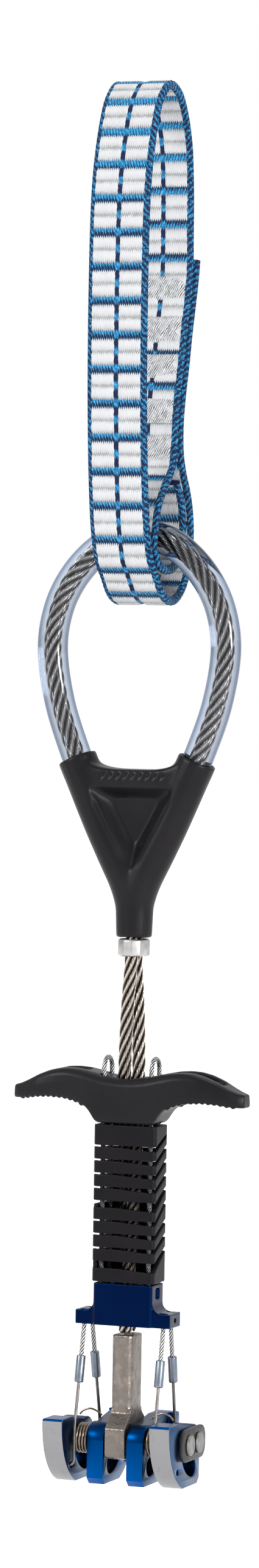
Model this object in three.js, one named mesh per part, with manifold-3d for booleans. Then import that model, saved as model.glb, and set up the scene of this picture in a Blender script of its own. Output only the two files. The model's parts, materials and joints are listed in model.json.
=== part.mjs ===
// A spring loaded camming device: four spiral cams on two axles, a wire rope stem with a thumb
// loop, a trigger that slides on the stem, and a webbing sling. Millimetres, +Z along the stem
// towards the sling, +X along the axles. The head is built with Z = 0 at the axles, and the whole
// device is then moved so that the inner top of the sling, where it hangs, is the origin.

import * as THREE from 'three';
import { mergeVertices } from 'three/addons/utils/BufferGeometryUtils.js';
import Module from 'manifold-3d';

const wasm = await Module();
wasm.setup();

const TURN = 2 * Math.PI;
const RIGHT_ANGLE = Math.PI / 2;
const DEGREE = Math.PI / 180;
const SIDES_OF_AXIS = [-1, 1];

// Clearances
const seatGap = 0.3; // between pieces that seat on each other
const runningGap = 0.1; // all round a shaft in its bore
const plateGap = 0.2; // between the outer cams, the end plates and the rivet heads
const overrun = 3; // every cutting solid runs this far past the face that it opens

// Axles and end plates
const axleSpacing = 5.2;
const axleRadius = 1.7;
const rivetHeadRadius = 2.15;
const rivetHeadLength = 0.35;
const rivetCrownShare = 0.75; // crown radius over head radius
const plateThickness = 0.9;
const plateHalfLength = 6.6;
const plateHalfHeight = 3.35;
const plateCornerRadius = 2.4;
const axleSides = 24;

// Cams: a spiral that meets the rock at the same angle all along
const camAngle = 14.5 * DEGREE;
const camTipRadius = 14.62;
const camTopHeight = 4.65;
const camTipFlatHeight = 1.5;
const camTipChamfer = 0.45;
const camTopFlatLength = 5.2;
const camSpiralStart = 10.5 * DEGREE;
const camSpiralEnd = -57 * DEGREE;
const camSpiralSteps = 16;
const hubRadius = 3.6;
const hubShoulderAngle = 68 * DEGREE;
const hubSteps = 8;
const camHeelChamfer = 1.3;
const camSwing = 80 * DEGREE;
const slotClearance = 0.2;
const slotSwingMargin = 2 * DEGREE;
const slotSteps = 12;
const hookHoleReach = 9;
const hookHoleDrop = 5.1;
const hookHoleRadius = 0.62;
const springHoleReach = 10.6;
const springHoleHeight = 2.9;
const springHoleRadius = 0.6;
const innerCamWebWidth = 3.6;
const innerCamRimWidth = 4.8;
const innerRimDepth = 2.6;
const innerRimStart = -8 * DEGREE;
const springBayWidth = 3.3;
const outerCamWidth = 4.4;

// Cam springs, wound round the front axle between an inner and an outer cam
const springWireRadius = 0.27;
const springCoilRadius = 2.85;
const springTurns = 2;
const springLegLength = 2.4;
const springHookLength = 0.9;
const springStepsPerTurn = 8;
const springWireSides = 5;

// Rope terminal, swaged on the rope's two legs and bored for the axles
const terminalHalfWidth = 2.2;
const terminalHalfDepth = 3.3;
const terminalTop = 21.5;
const terminalChamfer = 0.7;
const headHalfDepth = 6.45;
const headBottom = 3.6;
const headShoulder = 2.7;
const headCornerRadius = 1.5;
const neckTop = 5.6;

// Main rope
const ropeRadius = 1.35;
const ropeLegOffset = 1.42;
const ropeSides = 8;
const ropeSteps = 80;
const ropeSquareAtTrigger = 68;
const ropeStackMargin = 1.5; // under the collar, where the legs lie one behind the other
const ropeStackRise = 0.7; // above the thumb rest's foot, up to where they do so
const ropeSplitRise = 8.7; // above the thumb rest's foot, where they part
const twistPoints = 4;

// The thumb loop's route for one side: distance from the stem's axis, and height above the thumb
// rest's foot, inside the prong and then up to the crown
const restBottom = 102.3;
const prongRoute = [[ropeLegOffset, 8.9], [3.9, 16.3], [6.75, 22.1], [9.85, 28.9], [13.1, 36.3]];
const loopRoute = [[17.15, 47.8], [18.8, 59.1], [17.6, 66.5], [15.1, 71.9], [11.1, 76.8], [5.9, 80.5]];
const loopCrownRise = 81.7;
const loopTubeRadius = 3.1;
const loopTubeBore = 1.75;
const loopTubeSides = 12;
const loopTubeSteps = 44;
const loopTubeSocketDepth = 4.5;

// Collar swaged round both legs under the thumb rest
const collarHeight = 3.5;
const collarHalfWidth = 3.2;
const collarHalfDepth = 3.6;
const collarFacets = 12;
const collarChamfer = 0.5;

// Thumb rest, with its heights above its foot
const prongRadius = 4.05;
const prongToeRoute = [[0.1, 7.4], [1.25, 11]]; // where the prongs run into the stem, as the route above
const prongSides = 16;
const prongSteps = 12;
const restStemRadius = 4.1;
const restFootShare = 0.89; // radius at the foot over the radius under the prongs
const restStemHeight = 9.4;
const webHalfDepth = 3.4;
const webTopRise = 35.3;
const webTopHalfWidth = 12.4;
const webBottomRise = 6.7;
const webBottomHalfWidth = 1.6;
const saddleDip = 1.1;
const saddleHalfWidth = 9.2;
const saddleSteps = 8;
const pocketDepth = 1.9;
const pocketFloorTopRise = 28.6;
const pocketFloorTopHalfWidth = 6.2;
const pocketFloorBottomRise = 17.2;
const pocketCornerRadius = 0.9;
const pocketSlope = 2.1; // from the floor's outline out to the pocket's rim
const notchCount = 7;
const notchPitch = 1.7;
const notchDepth = 0.45;
const notchWidth = 0.7;

// Trigger
const triggerHalfSpan = 25.3;
const triggerHalfDepth = 4.7;
const triggerBottom = 64.5;
const triggerWaistTop = 73.9;
const triggerWingTop = 75.4;
const triggerTipTop = 71.4;
const triggerTipBottom = 68.6;
const triggerWingBottom = 69.6;
const triggerBlockHalfWidth = 6.9;
const triggerTipDepthShare = 0.42; // half depth at the wing tip over the half depth at the waist
const triggerTipRound = 2.6;
// Share of the way from the block to the tip, and share of the rise to the wing's underside
const wingUndersideShares = [[-0.0375, 0], [0, 0.3], [0.08, 0.6], [0.2, 0.85], [0.42, 1], [0.62, 1]];
const wingTipFrom = 0.85;
// Share of the way from the block to the tip, and share of the fall from the wing's top to the tip's
const wingTopShares = [[0.75, 0.35], [0.58, 0.08], [0.32, 0]];
// Share of the block's half width, and share of the rise from the waist to the wing's top
const waistTopShares = [[0.95, 0.35], [0.3, 0]];
const triggerEdgeChamfer = 0.7;
const wingPocketFrom = 9.2;
const wingPocketTo = 20.4;
const wingPocketHalfWidth = 1.7;
const wingPocketDepth = 2.4;

// Trigger cables: a U over each side of the trigger, down through the sleeve to the yoke
const cableRadius = 0.5;
const cableAcross = 5.15;
const cableDepth = 2.2;
const cableBendTop = 78.2;
const cableSides = 8;
const cableBendSteps = 10;
const cableRunSteps = 4;
const cableHoleRadius = 0.85;
const smallHoleSides = 10;

// Sleeve: a rounded tube cut by one square helix, so that it bends with the stem
const sleeveHalfWidth = 6.75;
const sleeveHalfDepth = 3.75;
const sleeveCornerRadius = 0.95;
const sleeveSideWall = 0.85;
const sleeveFaceWall = 0.55;
const sleeveTopRing = 4.2;
const sleeveRib = 2.47;
const sleeveSlit = 0.35;
const sleeveSideSlit = 0.75;
const sleeveWideSlit = 1.4;
const sleeveRibsPerRun = 4;
const slitFlareFrom = -1.2; // across the front, where a slit begins to open
const slitFlare = 0.62; // how much wider it is at the corner
const topSlitClimb = 2.4;
const sleeveCornerSteps = 3;

// Yoke: carries the four pull cables
const yokeBottom = 23.3;
const yokeHeight = 8.6;
const yokeBlockHalfWidth = 6.4;
const yokeBlockHalfDepth = 3.65;
const yokeArmHalfSpan = 10.3;
const yokeArmHalfDepth = 3.1;
const yokeArmHeight = 2.9;
const yokeFillet = 1.9;
const yokeFilletSteps = 5;
const yokeCornerRadius = 0.8;
const yokeHoleAcross = 8.6;
const yokeHoleDepth = 2.2;
const yokeHoleHalfWidth = 0.9;
const yokeHoleHalfLength = 0.68;
const yokeHoleCornerRadius = 0.62;
const yokeBlindDepth = 4.2;
const yokePocketHalfWidth = 1.1;
const yokePocketHeight = 2.2;
const yokePocketDepth = 0.6;
const yokePinHoleRadius = 0.5;
const yokePinHoleDepth = 0.76;

// Pull links: hooked wire, ferrule and cable stub
const pullWireRadius = 0.33;
const pullWireSides = 6;
const pullWireStepsPerPoint = 3;
const outerWireAcross = 8.75;
const innerWireAcross = 8.1;
const wireStraightTop = 2.6;
const hookDepth = 2.3;
const hookBend = 0.8;
const ferruleBottom = 11.5;
const ferruleLength = 5.4;
const ferruleRadius = 0.95;
const ferruleSides = 12;
const ferruleChamfer = 0.3;
const stubYokeGap = 0.7;

// Sling: one strip of webbing, from its tail outside the back run, round the thumb loop, up the
// front run, over the top, down inside the tail and round the thumb loop again
const webbingWidth = 12.8;
const webbingThickness = 1.9;
const slingHeight = 106;
const slingSpan = 26;
const slingUnderCrown = 14.3; // from the loop's crown down to the sling's lowest point
const slingEyeHeight = 33.92; // the part that closes round the loop, and keeps its size in a longer sling
const slingEyeShare = 0.32; // that part's share in the route's heights below
const slingSteps = 96;
const slingRouteShares = [
  [0.565, 0.667], [0.535, 0.627], [0.475, 0.573], [0.415, 0.52], [0.355, 0.456], [0.29, 0.398],
  [0.255, 0.34], [0.27, 0.292], [0.335, 0.255], [0.425, 0.222], [0.495, 0.182], [0.52, 0.142],
  [0.5, 0.098], [0.425, 0.052], [0.29, 0.022], [0.12, 0.009], [-0.08, 0.022], [-0.235, 0.058],
  [-0.34, 0.082], [-0.4, 0.112], [-0.45, 0.155], [-0.515, 0.27], [-0.56, 0.456], [-0.56, 0.69],
  [-0.535, 0.782], [-0.48, 0.85], [-0.385, 0.917], [-0.29, 0.957], [-0.09, 0.9895], [0.13, 0.975],
  [0.25, 0.94], [0.35, 0.883], [0.395, 0.804], [0.41, 0.7], [0.415, 0.66], [0.4, 0.62],
  [0.36, 0.573], [0.3, 0.52], [0.245, 0.456], [0.178, 0.398], [0.145, 0.34], [0.13, 0.3],
  [0.085, 0.262], [-0.06, 0.226], [-0.19, 0.19], [-0.25, 0.15], [-0.262, 0.11], [-0.19, 0.082],
  [-0.03, 0.069], [0.16, 0.074], [0.3, 0.104], [0.345, 0.15], [0.3, 0.2], [0.19, 0.236],
];
const hangShare = 0.981; // height of the inner top of the sling over the sling's height
const hangAcrossShare = -0.08;

// Places that follow from the sizes above
const collarBottom = restBottom - seatGap - collarHeight;
const ropeStackedFrom = collarBottom - ropeStackMargin;
const ropeStackedTo = restBottom + ropeStackRise;
const ropeSplitHeight = restBottom + ropeSplitRise;
const slingBottom = restBottom + loopCrownRise - slingUnderCrown;
const innerCamInboard = terminalHalfWidth + seatGap;
const innerCamOutboard = innerCamInboard + innerCamWebWidth;
const outerCamInboard = innerCamOutboard + springBayWidth;
const outerCamOutboard = outerCamInboard + outerCamWidth;
const plateInboard = outerCamOutboard + plateGap;
const headInboard = plateInboard + plateThickness + plateGap / 2;
const axlePlace = { front: -axleSpacing / 2, back: axleSpacing / 2 };
const ropePairRadius = ropeLegOffset + ropeRadius;
const stemBoreRadius = ropePairRadius + seatGap + runningGap;
const sleeveTop = triggerBottom - seatGap;
const yokeTop = yokeBottom + yokeHeight;
const sleeveBottom = yokeTop + seatGap;

// Materials
function finish(color, roughness, metalness) {
  return new THREE.MeshStandardMaterial({ color, roughness, metalness });
}
const blueAnodised = finish(0x0a55a0, 0.35, 0.8);
const navyAnodised = finish(0x13244f, 0.4, 0.8);
const bareSteel = finish(0x9a9288, 0.35, 0.9);
const darkSteel = finish(0x4a4a50, 0.45, 0.85);
const springSteel = finish(0xb8ae9c, 0.3, 0.9);
const blackPlastic = finish(0x26252a, 0.5, 0);
const clearTube = finish(0x9fb8dc, 0.15, 0);
const blueWhiteWebbing = finish(0x9fb6cf, 0.9, 0);

// Geometry helpers
function toSolid(geometry) {
  const plain = geometry.clone();
  plain.deleteAttribute('normal');
  plain.deleteAttribute('uv');
  const merged = mergeVertices(plain);
  return new wasm.Manifold(new wasm.Mesh({
    numProp: 3,
    vertProperties: new Float32Array(merged.attributes.position.array),
    triVerts: new Uint32Array(merged.index.array),
  }));
}

function toGeometry(solid) {
  const found = solid.getMesh();
  const geometry = new THREE.BufferGeometry();
  geometry.setAttribute('position', new THREE.BufferAttribute(found.vertProperties, 3));
  geometry.setIndex(new THREE.BufferAttribute(found.triVerts, 1));
  geometry.computeVertexNormals();
  return geometry;
}

function joined(geometries) {
  return toGeometry(geometries.map(toSolid).reduce((whole, piece) => whole.add(piece)));
}

function cut(geometry, cutters) {
  const bored = cutters.map(toSolid).reduce((whole, cutter) => whole.subtract(cutter), toSolid(geometry));
  return toGeometry(bored);
}

function common(first, second) {
  return toGeometry(toSolid(first).intersect(toSolid(second)));
}

function shapeOf(points) {
  return new THREE.Shape(points.map(([a, b]) => new THREE.Vector2(a, b)));
}

function prismAlongZ(points, from, to) {
  const geometry = new THREE.ExtrudeGeometry(shapeOf(points), { depth: to - from, bevelEnabled: false });
  return geometry.translate(0, 0, from);
}

// The outline's points are given as (Y, Z)
function prismAlongX(points, from, to) {
  const cycle = new THREE.Matrix4().makeBasis(
    new THREE.Vector3(0, 1, 0),
    new THREE.Vector3(0, 0, 1),
    new THREE.Vector3(1, 0, 0),
  );
  const geometry = new THREE.ExtrudeGeometry(shapeOf(points), { depth: to - from, bevelEnabled: false });
  return geometry.applyMatrix4(cycle).translate(from, 0, 0);
}

// The outline's points are given as (X, Z)
function prismAlongY(points, from, to) {
  const geometry = new THREE.ExtrudeGeometry(shapeOf(points), { depth: to - from, bevelEnabled: false });
  return geometry.rotateX(RIGHT_ANGLE).translate(0, to, 0);
}

function arc(centreX, centreY, radius, from, to, steps) {
  return Array.from({ length: steps + 1 }, (_, i) => {
    const angle = from + (to - from) * i / steps;
    return [centreX + radius * Math.cos(angle), centreY + radius * Math.sin(angle)];
  });
}

function roundedRectangle(halfWidth, halfHeight, radius, steps) {
  const x = halfWidth - radius;
  const y = halfHeight - radius;
  return [
    ...arc(x, y, radius, 0, RIGHT_ANGLE, steps),
    ...arc(-x, y, radius, RIGHT_ANGLE, 2 * RIGHT_ANGLE, steps),
    ...arc(-x, -y, radius, 2 * RIGHT_ANGLE, 3 * RIGHT_ANGLE, steps),
    ...arc(x, -y, radius, 3 * RIGHT_ANGLE, 4 * RIGHT_ANGLE, steps),
  ];
}

function chamferedRectangle(halfWidth, halfHeight, chamfer) {
  const x = halfWidth - chamfer;
  const y = halfHeight - chamfer;
  return [
    [halfWidth, -y], [halfWidth, y], [x, halfHeight], [-x, halfHeight],
    [-halfWidth, y], [-halfWidth, -y], [-x, -halfHeight], [x, -halfHeight],
  ];
}

// A faceted bore whose flats, not its corners, lie at the radius
function boreRadius(radius, sides) {
  return radius / Math.cos(Math.PI / sides);
}

function rodAlongX(radius, from, to, y, z, sides = axleSides) {
  return new THREE.CylinderGeometry(radius, radius, to - from, sides)
    .rotateZ(RIGHT_ANGLE)
    .translate((from + to) / 2, y, z);
}

function rodAlongZ(radius, from, to, x, y, sides = axleSides) {
  return new THREE.CylinderGeometry(radius, radius, to - from, sides)
    .rotateX(RIGHT_ANGLE)
    .translate(x, y, (from + to) / 2);
}

function round(radius, sides) {
  return arc(0, 0, radius, 0, TURN * (sides - 1) / sides, sides - 1);
}

function smoothThrough(points) {
  return new THREE.CatmullRomCurve3(points.map((p) => new THREE.Vector3(...p)), false, 'centripetal');
}

function tubeAlong(points, radius, sides, steps) {
  const extrudePath = smoothThrough(points);
  return new THREE.ExtrudeGeometry(shapeOf(round(radius, sides)), { extrudePath, steps, bevelEnabled: false });
}

function mirroredInX(points) {
  return points.map(([x, ...rest]) => [-x, ...rest]);
}

function halfAndMirror(points) {
  return [...points, ...mirroredInX(points).reverse()];
}

const device = new THREE.Group();

function place(name, geometry, material, parent = device) {
  const mesh = new THREE.Mesh(geometry, material.clone());
  mesh.name = name;
  parent.add(mesh);
  return mesh;
}

// Cams

function spiralRadius(angle) {
  return camTipRadius * Math.exp((angle - camAngle) * Math.tan(camAngle));
}

function spiralPoint(angle) {
  return [spiralRadius(angle) * Math.cos(angle), spiralRadius(angle) * Math.sin(angle)];
}

// Reach from the pivot towards the rock, and height, of the cam's outline
function camOutline() {
  const tipReach = camTipRadius * Math.cos(camAngle);
  const bottom = spiralPoint(camSpiralEnd)[1];
  const spiral = Array.from({ length: camSpiralSteps + 1 }, (_, i) =>
    spiralPoint(camSpiralEnd + (camSpiralStart - camSpiralEnd) * i / camSpiralSteps));
  return [
    ...spiral,
    [tipReach, camTopHeight - camTipChamfer - camTipFlatHeight],
    [tipReach, camTopHeight - camTipChamfer],
    [tipReach - camTipChamfer, camTopHeight],
    [tipReach - camTipChamfer - camTopFlatLength, camTopHeight],
    ...arc(0, 0, hubRadius, hubShoulderAngle, Math.PI, hubSteps),
    [-hubRadius, bottom + camHeelChamfer],
    [-hubRadius + camHeelChamfer, bottom],
  ];
}

function slotOutline() {
  const reach = axleSpacing;
  const half = axleRadius + slotClearance;
  const low = -camSwing - slotSwingMargin;
  const high = slotSwingMargin / 2;
  const end = [reach * Math.cos(low), reach * Math.sin(low)];
  const start = [reach * Math.cos(high), reach * Math.sin(high)];
  return [
    ...arc(0, 0, boreRadius(reach + half, axleSides * 2), low, high, slotSteps),
    ...arc(start[0], start[1], half, high, high + Math.PI, slotSteps / 2).slice(1, -1),
    ...arc(0, 0, reach - half, high, low, slotSteps),
    ...arc(end[0], end[1], half, low + Math.PI, low + TURN, slotSteps / 2).slice(1, -1),
  ];
}

function innerRimOutline() {
  const full = Array.from({ length: camSpiralSteps / 2 + 1 }, (_, i) =>
    innerRimStart + (camSpiralStart - innerRimStart) * i / (camSpiralSteps / 2));
  const outside = full.map(spiralPoint);
  const inside = full.map((angle) => [
    (spiralRadius(angle) - innerRimDepth) * Math.cos(angle),
    (spiralRadius(angle) - innerRimDepth) * Math.sin(angle),
  ]);
  const tipReach = camTipRadius * Math.cos(camAngle);
  return [
    ...outside,
    [tipReach, camTopHeight - camTipChamfer - camTipFlatHeight],
    [tipReach, camTopHeight - camTipChamfer],
    [tipReach - camTipChamfer, camTopHeight],
    [tipReach - innerRimDepth, camTopHeight],
    ...inside.reverse(),
  ];
}

// The grip is +1 for a cam that reaches towards +Y and -1 for one that reaches towards -Y
function turned(points, grip) {
  const placed = points.map(([reach, height]) => [grip * reach, height]);
  return grip > 0 ? placed : placed.reverse();
}

function axleBore(from, to, y) {
  return rodAlongX(boreRadius(axleRadius + runningGap, axleSides), from, to, y, 0);
}

function camBores(grip, from, to) {
  return [
    prismAlongX(turned(slotOutline(), grip), from, to),
    axleBore(from, to, 0),
    rodAlongX(hookHoleRadius, from, to, grip * hookHoleReach, -hookHoleDrop, smallHoleSides),
  ];
}

function outerCam() {
  const body = prismAlongX(turned(camOutline(), -1), 0, outerCamWidth);
  return cut(body, camBores(-1, -overrun, outerCamWidth + overrun));
}

function innerCam(side) {
  const [from, to] = side > 0 ? [0, innerCamWebWidth] : [-innerCamWebWidth, 0];
  const [rimFrom, rimTo] = side > 0 ? [0, innerCamRimWidth] : [-innerCamRimWidth, 0];
  const body = joined([
    prismAlongX(turned(camOutline(), 1), from, to),
    prismAlongX(turned(innerRimOutline(), 1), rimFrom, rimTo),
  ]);
  const low = rimFrom - overrun;
  const high = rimTo + overrun;
  return cut(body, [
    ...camBores(1, low, high),
    rodAlongX(springHoleRadius, low, high, springHoleReach, springHoleHeight, smallHoleSides),
  ]);
}

function addCams() {
  for (const side of SIDES_OF_AXIS) {
    const hand = side < 0 ? 'left' : 'right';
    const outer = place(`outer_cam_${hand}`, outerCam(), blueAnodised);
    outer.position.set(side > 0 ? outerCamInboard : -outerCamOutboard, axlePlace.back, 0);
    const inner = place(`inner_cam_${hand}`, innerCam(side), blueAnodised);
    inner.position.set(side * innerCamInboard, axlePlace.front, 0);
  }
}

// Axles, end plates and springs

function axle() {
  const shoulder = headInboard;
  const end = shoulder + rivetHeadLength;
  const crown = rivetHeadRadius * rivetCrownShare;
  const profile = [
    [0, -end], [crown, -end], [rivetHeadRadius, -shoulder - rivetHeadLength / 2], [rivetHeadRadius, -shoulder],
    [axleRadius, -shoulder], [axleRadius, shoulder],
    [rivetHeadRadius, shoulder], [rivetHeadRadius, shoulder + rivetHeadLength / 2], [crown, end], [0, end],
  ];
  const turnedRod = new THREE.LatheGeometry(profile.map(([r, z]) => new THREE.Vector2(r, z)), axleSides);
  return turnedRod.rotateZ(RIGHT_ANGLE);
}

function endPlate() {
  const outline = roundedRectangle(plateHalfLength, plateHalfHeight, plateCornerRadius, hubSteps / 2);
  const plate = prismAlongX(outline, 0, plateThickness);
  return cut(plate, Object.values(axlePlace).map((y) => axleBore(-overrun, plateThickness + overrun, y)));
}

function springRoute(side) {
  const first = springWireRadius + seatGap;
  const room = springBayWidth - 2 * first;
  const steps = springTurns * springStepsPerTurn;
  const coil = Array.from({ length: steps + 1 }, (_, i) => {
    const angle = RIGHT_ANGLE + TURN * springTurns * i / steps;
    return [
      first + room * i / steps,
      springCoilRadius * Math.cos(angle),
      springCoilRadius * Math.sin(angle),
    ];
  });
  const [lastX, lastY, lastZ] = coil[steps];
  const leaving = RIGHT_ANGLE + TURN * springTurns + RIGHT_ANGLE;
  const route = [
    [first, springLegLength, springCoilRadius],
    [first, springLegLength / 2, springCoilRadius],
    ...coil,
    [lastX, lastY + springHookLength * Math.cos(leaving), lastZ + springHookLength * Math.sin(leaving)],
    [lastX, lastY + springLegLength * Math.cos(leaving), lastZ + springLegLength * Math.sin(leaving)],
  ];
  return route.map(([x, y, z]) => [side * (innerCamOutboard + x), axlePlace.front + y, z]);
}

function leastSelfGap(route, radius, stepsApart) {
  let least = Infinity;
  route.forEach((a, i) => route.slice(i + stepsApart).forEach((b) => {
    least = Math.min(least, Math.hypot(a[0] - b[0], a[1] - b[1], a[2] - b[2]) - 2 * radius);
  }));
  return least;
}

function addAxlesAndSprings() {
  place('axle_front', axle(), bareSteel).position.set(0, axlePlace.front, 0);
  place('axle_back', axle(), bareSteel).position.set(0, axlePlace.back, 0);
  for (const side of SIDES_OF_AXIS) {
    const hand = side < 0 ? 'left' : 'right';
    const plate = place(`end_plate_${hand}`, endPlate(), darkSteel);
    plate.position.x = side > 0 ? plateInboard : -plateInboard - plateThickness;
    const route = springRoute(side);
    const coil = tubeAlong(route, springWireRadius, springWireSides, route.length - 1);
    place(`cam_spring_${hand}`, coil, springSteel);
  }
  const gap = leastSelfGap(springRoute(1), springWireRadius, springStepsPerTurn - 2);
  console.log(`least gap of a cam spring to itself: ${gap.toFixed(2)} mm`);
}

// Rope terminal

function terminal() {
  const half = [
    [headHalfDepth, headShoulder],
    [terminalHalfDepth, neckTop],
    [terminalHalfDepth, neckTop + terminalChamfer],
  ];
  const corner = arc(headHalfDepth - headCornerRadius, -headBottom + headCornerRadius, headCornerRadius,
    -RIGHT_ANGLE, 0, hubSteps / 2);
  const head = prismAlongX(halfAndMirror([...corner, ...half]), -terminalHalfWidth, terminalHalfWidth);
  const section = chamferedRectangle(terminalHalfWidth, terminalHalfDepth, terminalChamfer);
  const bar = prismAlongZ(section, headShoulder, terminalTop);
  const outside = terminalHalfWidth + overrun;
  return cut(joined([head, bar]), Object.values(axlePlace).map((y) => axleBore(-outside, outside, y)));
}

// Main rope, thumb loop tube, collar and thumb rest

// Angle round the stem of the leg that ends in the left prong: stacked front to back in the
// terminal and the collar, side by side at the trigger
function twist(z) {
  const part = (from, to) => THREE.MathUtils.clamp((z - from) / (to - from), 0, 1);
  const lower = part(ropeSquareAtTrigger, terminalTop);
  const upper = part(ropeSquareAtTrigger, ropeStackedFrom);
  const inRest = part(ropeStackedTo, ropeSplitHeight);
  return RIGHT_ANGLE * (upper + inRest - lower);
}

function twistedLeg(side) {
  const bottom = terminalTop + seatGap;
  const marks = [bottom, ropeSquareAtTrigger, ropeStackedFrom, ropeStackedTo, ropeSplitHeight];
  const heights = [];
  marks.slice(1).forEach((mark, i) => {
    for (let k = 0; k < twistPoints; k += 1) heights.push(marks[i] + (mark - marks[i]) * k / twistPoints);
  });
  const reach = side * ropeLegOffset;
  return heights.map((z) => [reach * Math.cos(twist(z)), reach * Math.sin(twist(z)), z]);
}

function raised(route, side) {
  return route.map(([across, rise]) => [side * across, 0, restBottom + rise]);
}

function loopHalf(side) {
  return raised([...prongRoute, ...loopRoute], side);
}

function loopCrown() {
  return [0, 0, restBottom + loopCrownRise];
}

function ropeRoute() {
  return [
    ...twistedLeg(1),
    ...loopHalf(-1),
    loopCrown(),
    ...loopHalf(1).reverse(),
    ...twistedLeg(-1).reverse(),
  ];
}

function loopCurve() {
  return smoothThrough([...loopHalf(-1), loopCrown(), ...loopHalf(1).reverse()]);
}

// The stretch of the loop between the tube's two ends, which lie inside the prongs
function tubeRoute() {
  const curve = loopCurve();
  const length = curve.getLength();
  const rimAt = prongRoute.slice(1).reduce((sum, p, i) =>
    sum + Math.hypot(p[0] - prongRoute[i][0], p[1] - prongRoute[i][1]), 0);
  const from = (rimAt - loopTubeSocketDepth) / length;
  return Array.from({ length: loopTubeSteps + 1 }, (_, i) =>
    curve.getPointAt(from + (1 - 2 * from) * i / loopTubeSteps).toArray());
}

function loopTube() {
  const extrudePath = smoothThrough(tubeRoute());
  const ring = shapeOf(round(loopTubeRadius, loopTubeSides));
  ring.holes.push(new THREE.Path(round(loopTubeBore, ropeSides).map(([x, y]) => new THREE.Vector2(x, y))));
  return new THREE.ExtrudeGeometry(ring, { extrudePath, steps: loopTubeSteps, bevelEnabled: false });
}

function collar() {
  const bore = ropeRadius + seatGap;
  const reach = ropeLegOffset + bore;
  const top = collarBottom + collarHeight;
  const facets = (chamfer) => round(1, collarFacets)
    .map(([x, y]) => [x * (collarHalfWidth - chamfer), y * (collarHalfDepth - chamfer)]);
  const body = joined([
    prismAlongZ(facets(0), collarBottom + collarChamfer, top - collarChamfer),
    prismAlongZ(facets(collarChamfer / 2), collarBottom, top),
  ]);
  const hole = roundedRectangle(bore, reach, bore - collarChamfer / 2, hubSteps / 2);
  return cut(body, [prismAlongZ(hole, collarBottom - overrun, top + overrun)]);
}

function ropeChannel(side) {
  const leg = twistedLeg(side).filter(([, , z]) => z > ropeStackedFrom);
  const route = [...leg, ...loopHalf(-side).slice(0, prongRoute.length + 1)];
  return tubeAlong(route, boreRadius(ropeRadius + seatGap, ropeSides), ropeSides, route.length * 2);
}

function prong(side) {
  const route = [...prongToeRoute, ...prongRoute.slice(1)];
  return tubeAlong(raised(route, side), prongRadius, prongSides, prongSteps);
}

function prongSocket(side) {
  const curve = loopCurve();
  const points = tubeRoute();
  const route = side < 0 ? points : points.slice().reverse();
  const reach = Math.ceil((loopTubeSocketDepth + overrun) * loopTubeSteps / curve.getLength()) + 1;
  const first = new THREE.Vector3(...route[0]);
  const back = first.clone().sub(new THREE.Vector3(...route[1])).setLength(seatGap).add(first);
  const bore = boreRadius(loopTubeRadius + runningGap, prongSides);
  return tubeAlong([back.toArray(), ...route.slice(0, reach)], bore, prongSides, reach);
}

function saddleLine() {
  return Array.from({ length: saddleSteps + 1 }, (_, i) => {
    const across = saddleHalfWidth * (1 - 2 * i / saddleSteps);
    const fall = 1 - (across / saddleHalfWidth) ** 4;
    return [across, restBottom + webTopRise - saddleDip * fall];
  });
}

// A pocket's cutter: the floor's outline, widening up a slope to the rim and then straight out
function pocketCutter() {
  const corner = pocketCornerRadius;
  const middle = [pocketFloorTopHalfWidth - corner, restBottom + pocketFloorTopRise - corner];
  const top = arc(...middle, corner, 0, RIGHT_ANGLE, hubSteps / 2);
  const outline = halfAndMirror([[corner / 2, restBottom + pocketFloorBottomRise], ...top]);
  const geometry = new THREE.ExtrudeGeometry(shapeOf(outline), {
    depth: pocketDepth, bevelThickness: pocketDepth, bevelSize: pocketSlope, bevelSegments: 1,
  });
  return geometry.rotateX(RIGHT_ANGLE).translate(0, -webHalfDepth, 0);
}

function thumbRest() {
  const webTop = restBottom + webTopRise;
  const webBottom = restBottom + webBottomRise;
  const web = prismAlongY([
    [-webBottomHalfWidth, webBottom], [webBottomHalfWidth, webBottom], [webTopHalfWidth, webTop],
    ...saddleLine(), [-webTopHalfWidth, webTop],
  ], -webHalfDepth, webHalfDepth);
  const stem = new THREE.CylinderGeometry(
    restStemRadius, restStemRadius * restFootShare, restStemHeight, prongSides)
    .rotateX(RIGHT_ANGLE)
    .translate(0, 0, restBottom + restStemHeight / 2);
  const body = joined([web, stem, prong(-1), prong(1)]);
  const pockets = SIDES_OF_AXIS.map((face) => (face < 0 ? pocketCutter() : pocketCutter().rotateZ(2 * RIGHT_ANGLE)));
  const notches = Array.from({ length: notchCount }, (_, i) => {
    const x = notchPitch * (i - (notchCount - 1) / 2);
    const floor = webTop - saddleDip - notchDepth;
    return prismAlongY([
      [x, floor], [x + notchWidth, webTop], [x - notchWidth, webTop],
    ], -webHalfDepth - overrun, webHalfDepth + overrun);
  });
  return cut(body, [...pockets, ...notches, ropeChannel(1), ropeChannel(-1), prongSocket(1), prongSocket(-1)]);
}

function addStem() {
  place('terminal', terminal(), bareSteel);
  place('main_cable', tubeAlong(ropeRoute(), ropeRadius, ropeSides, ropeSteps), bareSteel);
  place('thumb_loop_tube', loopTube(), clearTube);
  place('thumb_rest', thumbRest(), blackPlastic);
  place('collar', collar(), bareSteel);
}

// Trigger, its cables, sleeve and yoke

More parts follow.
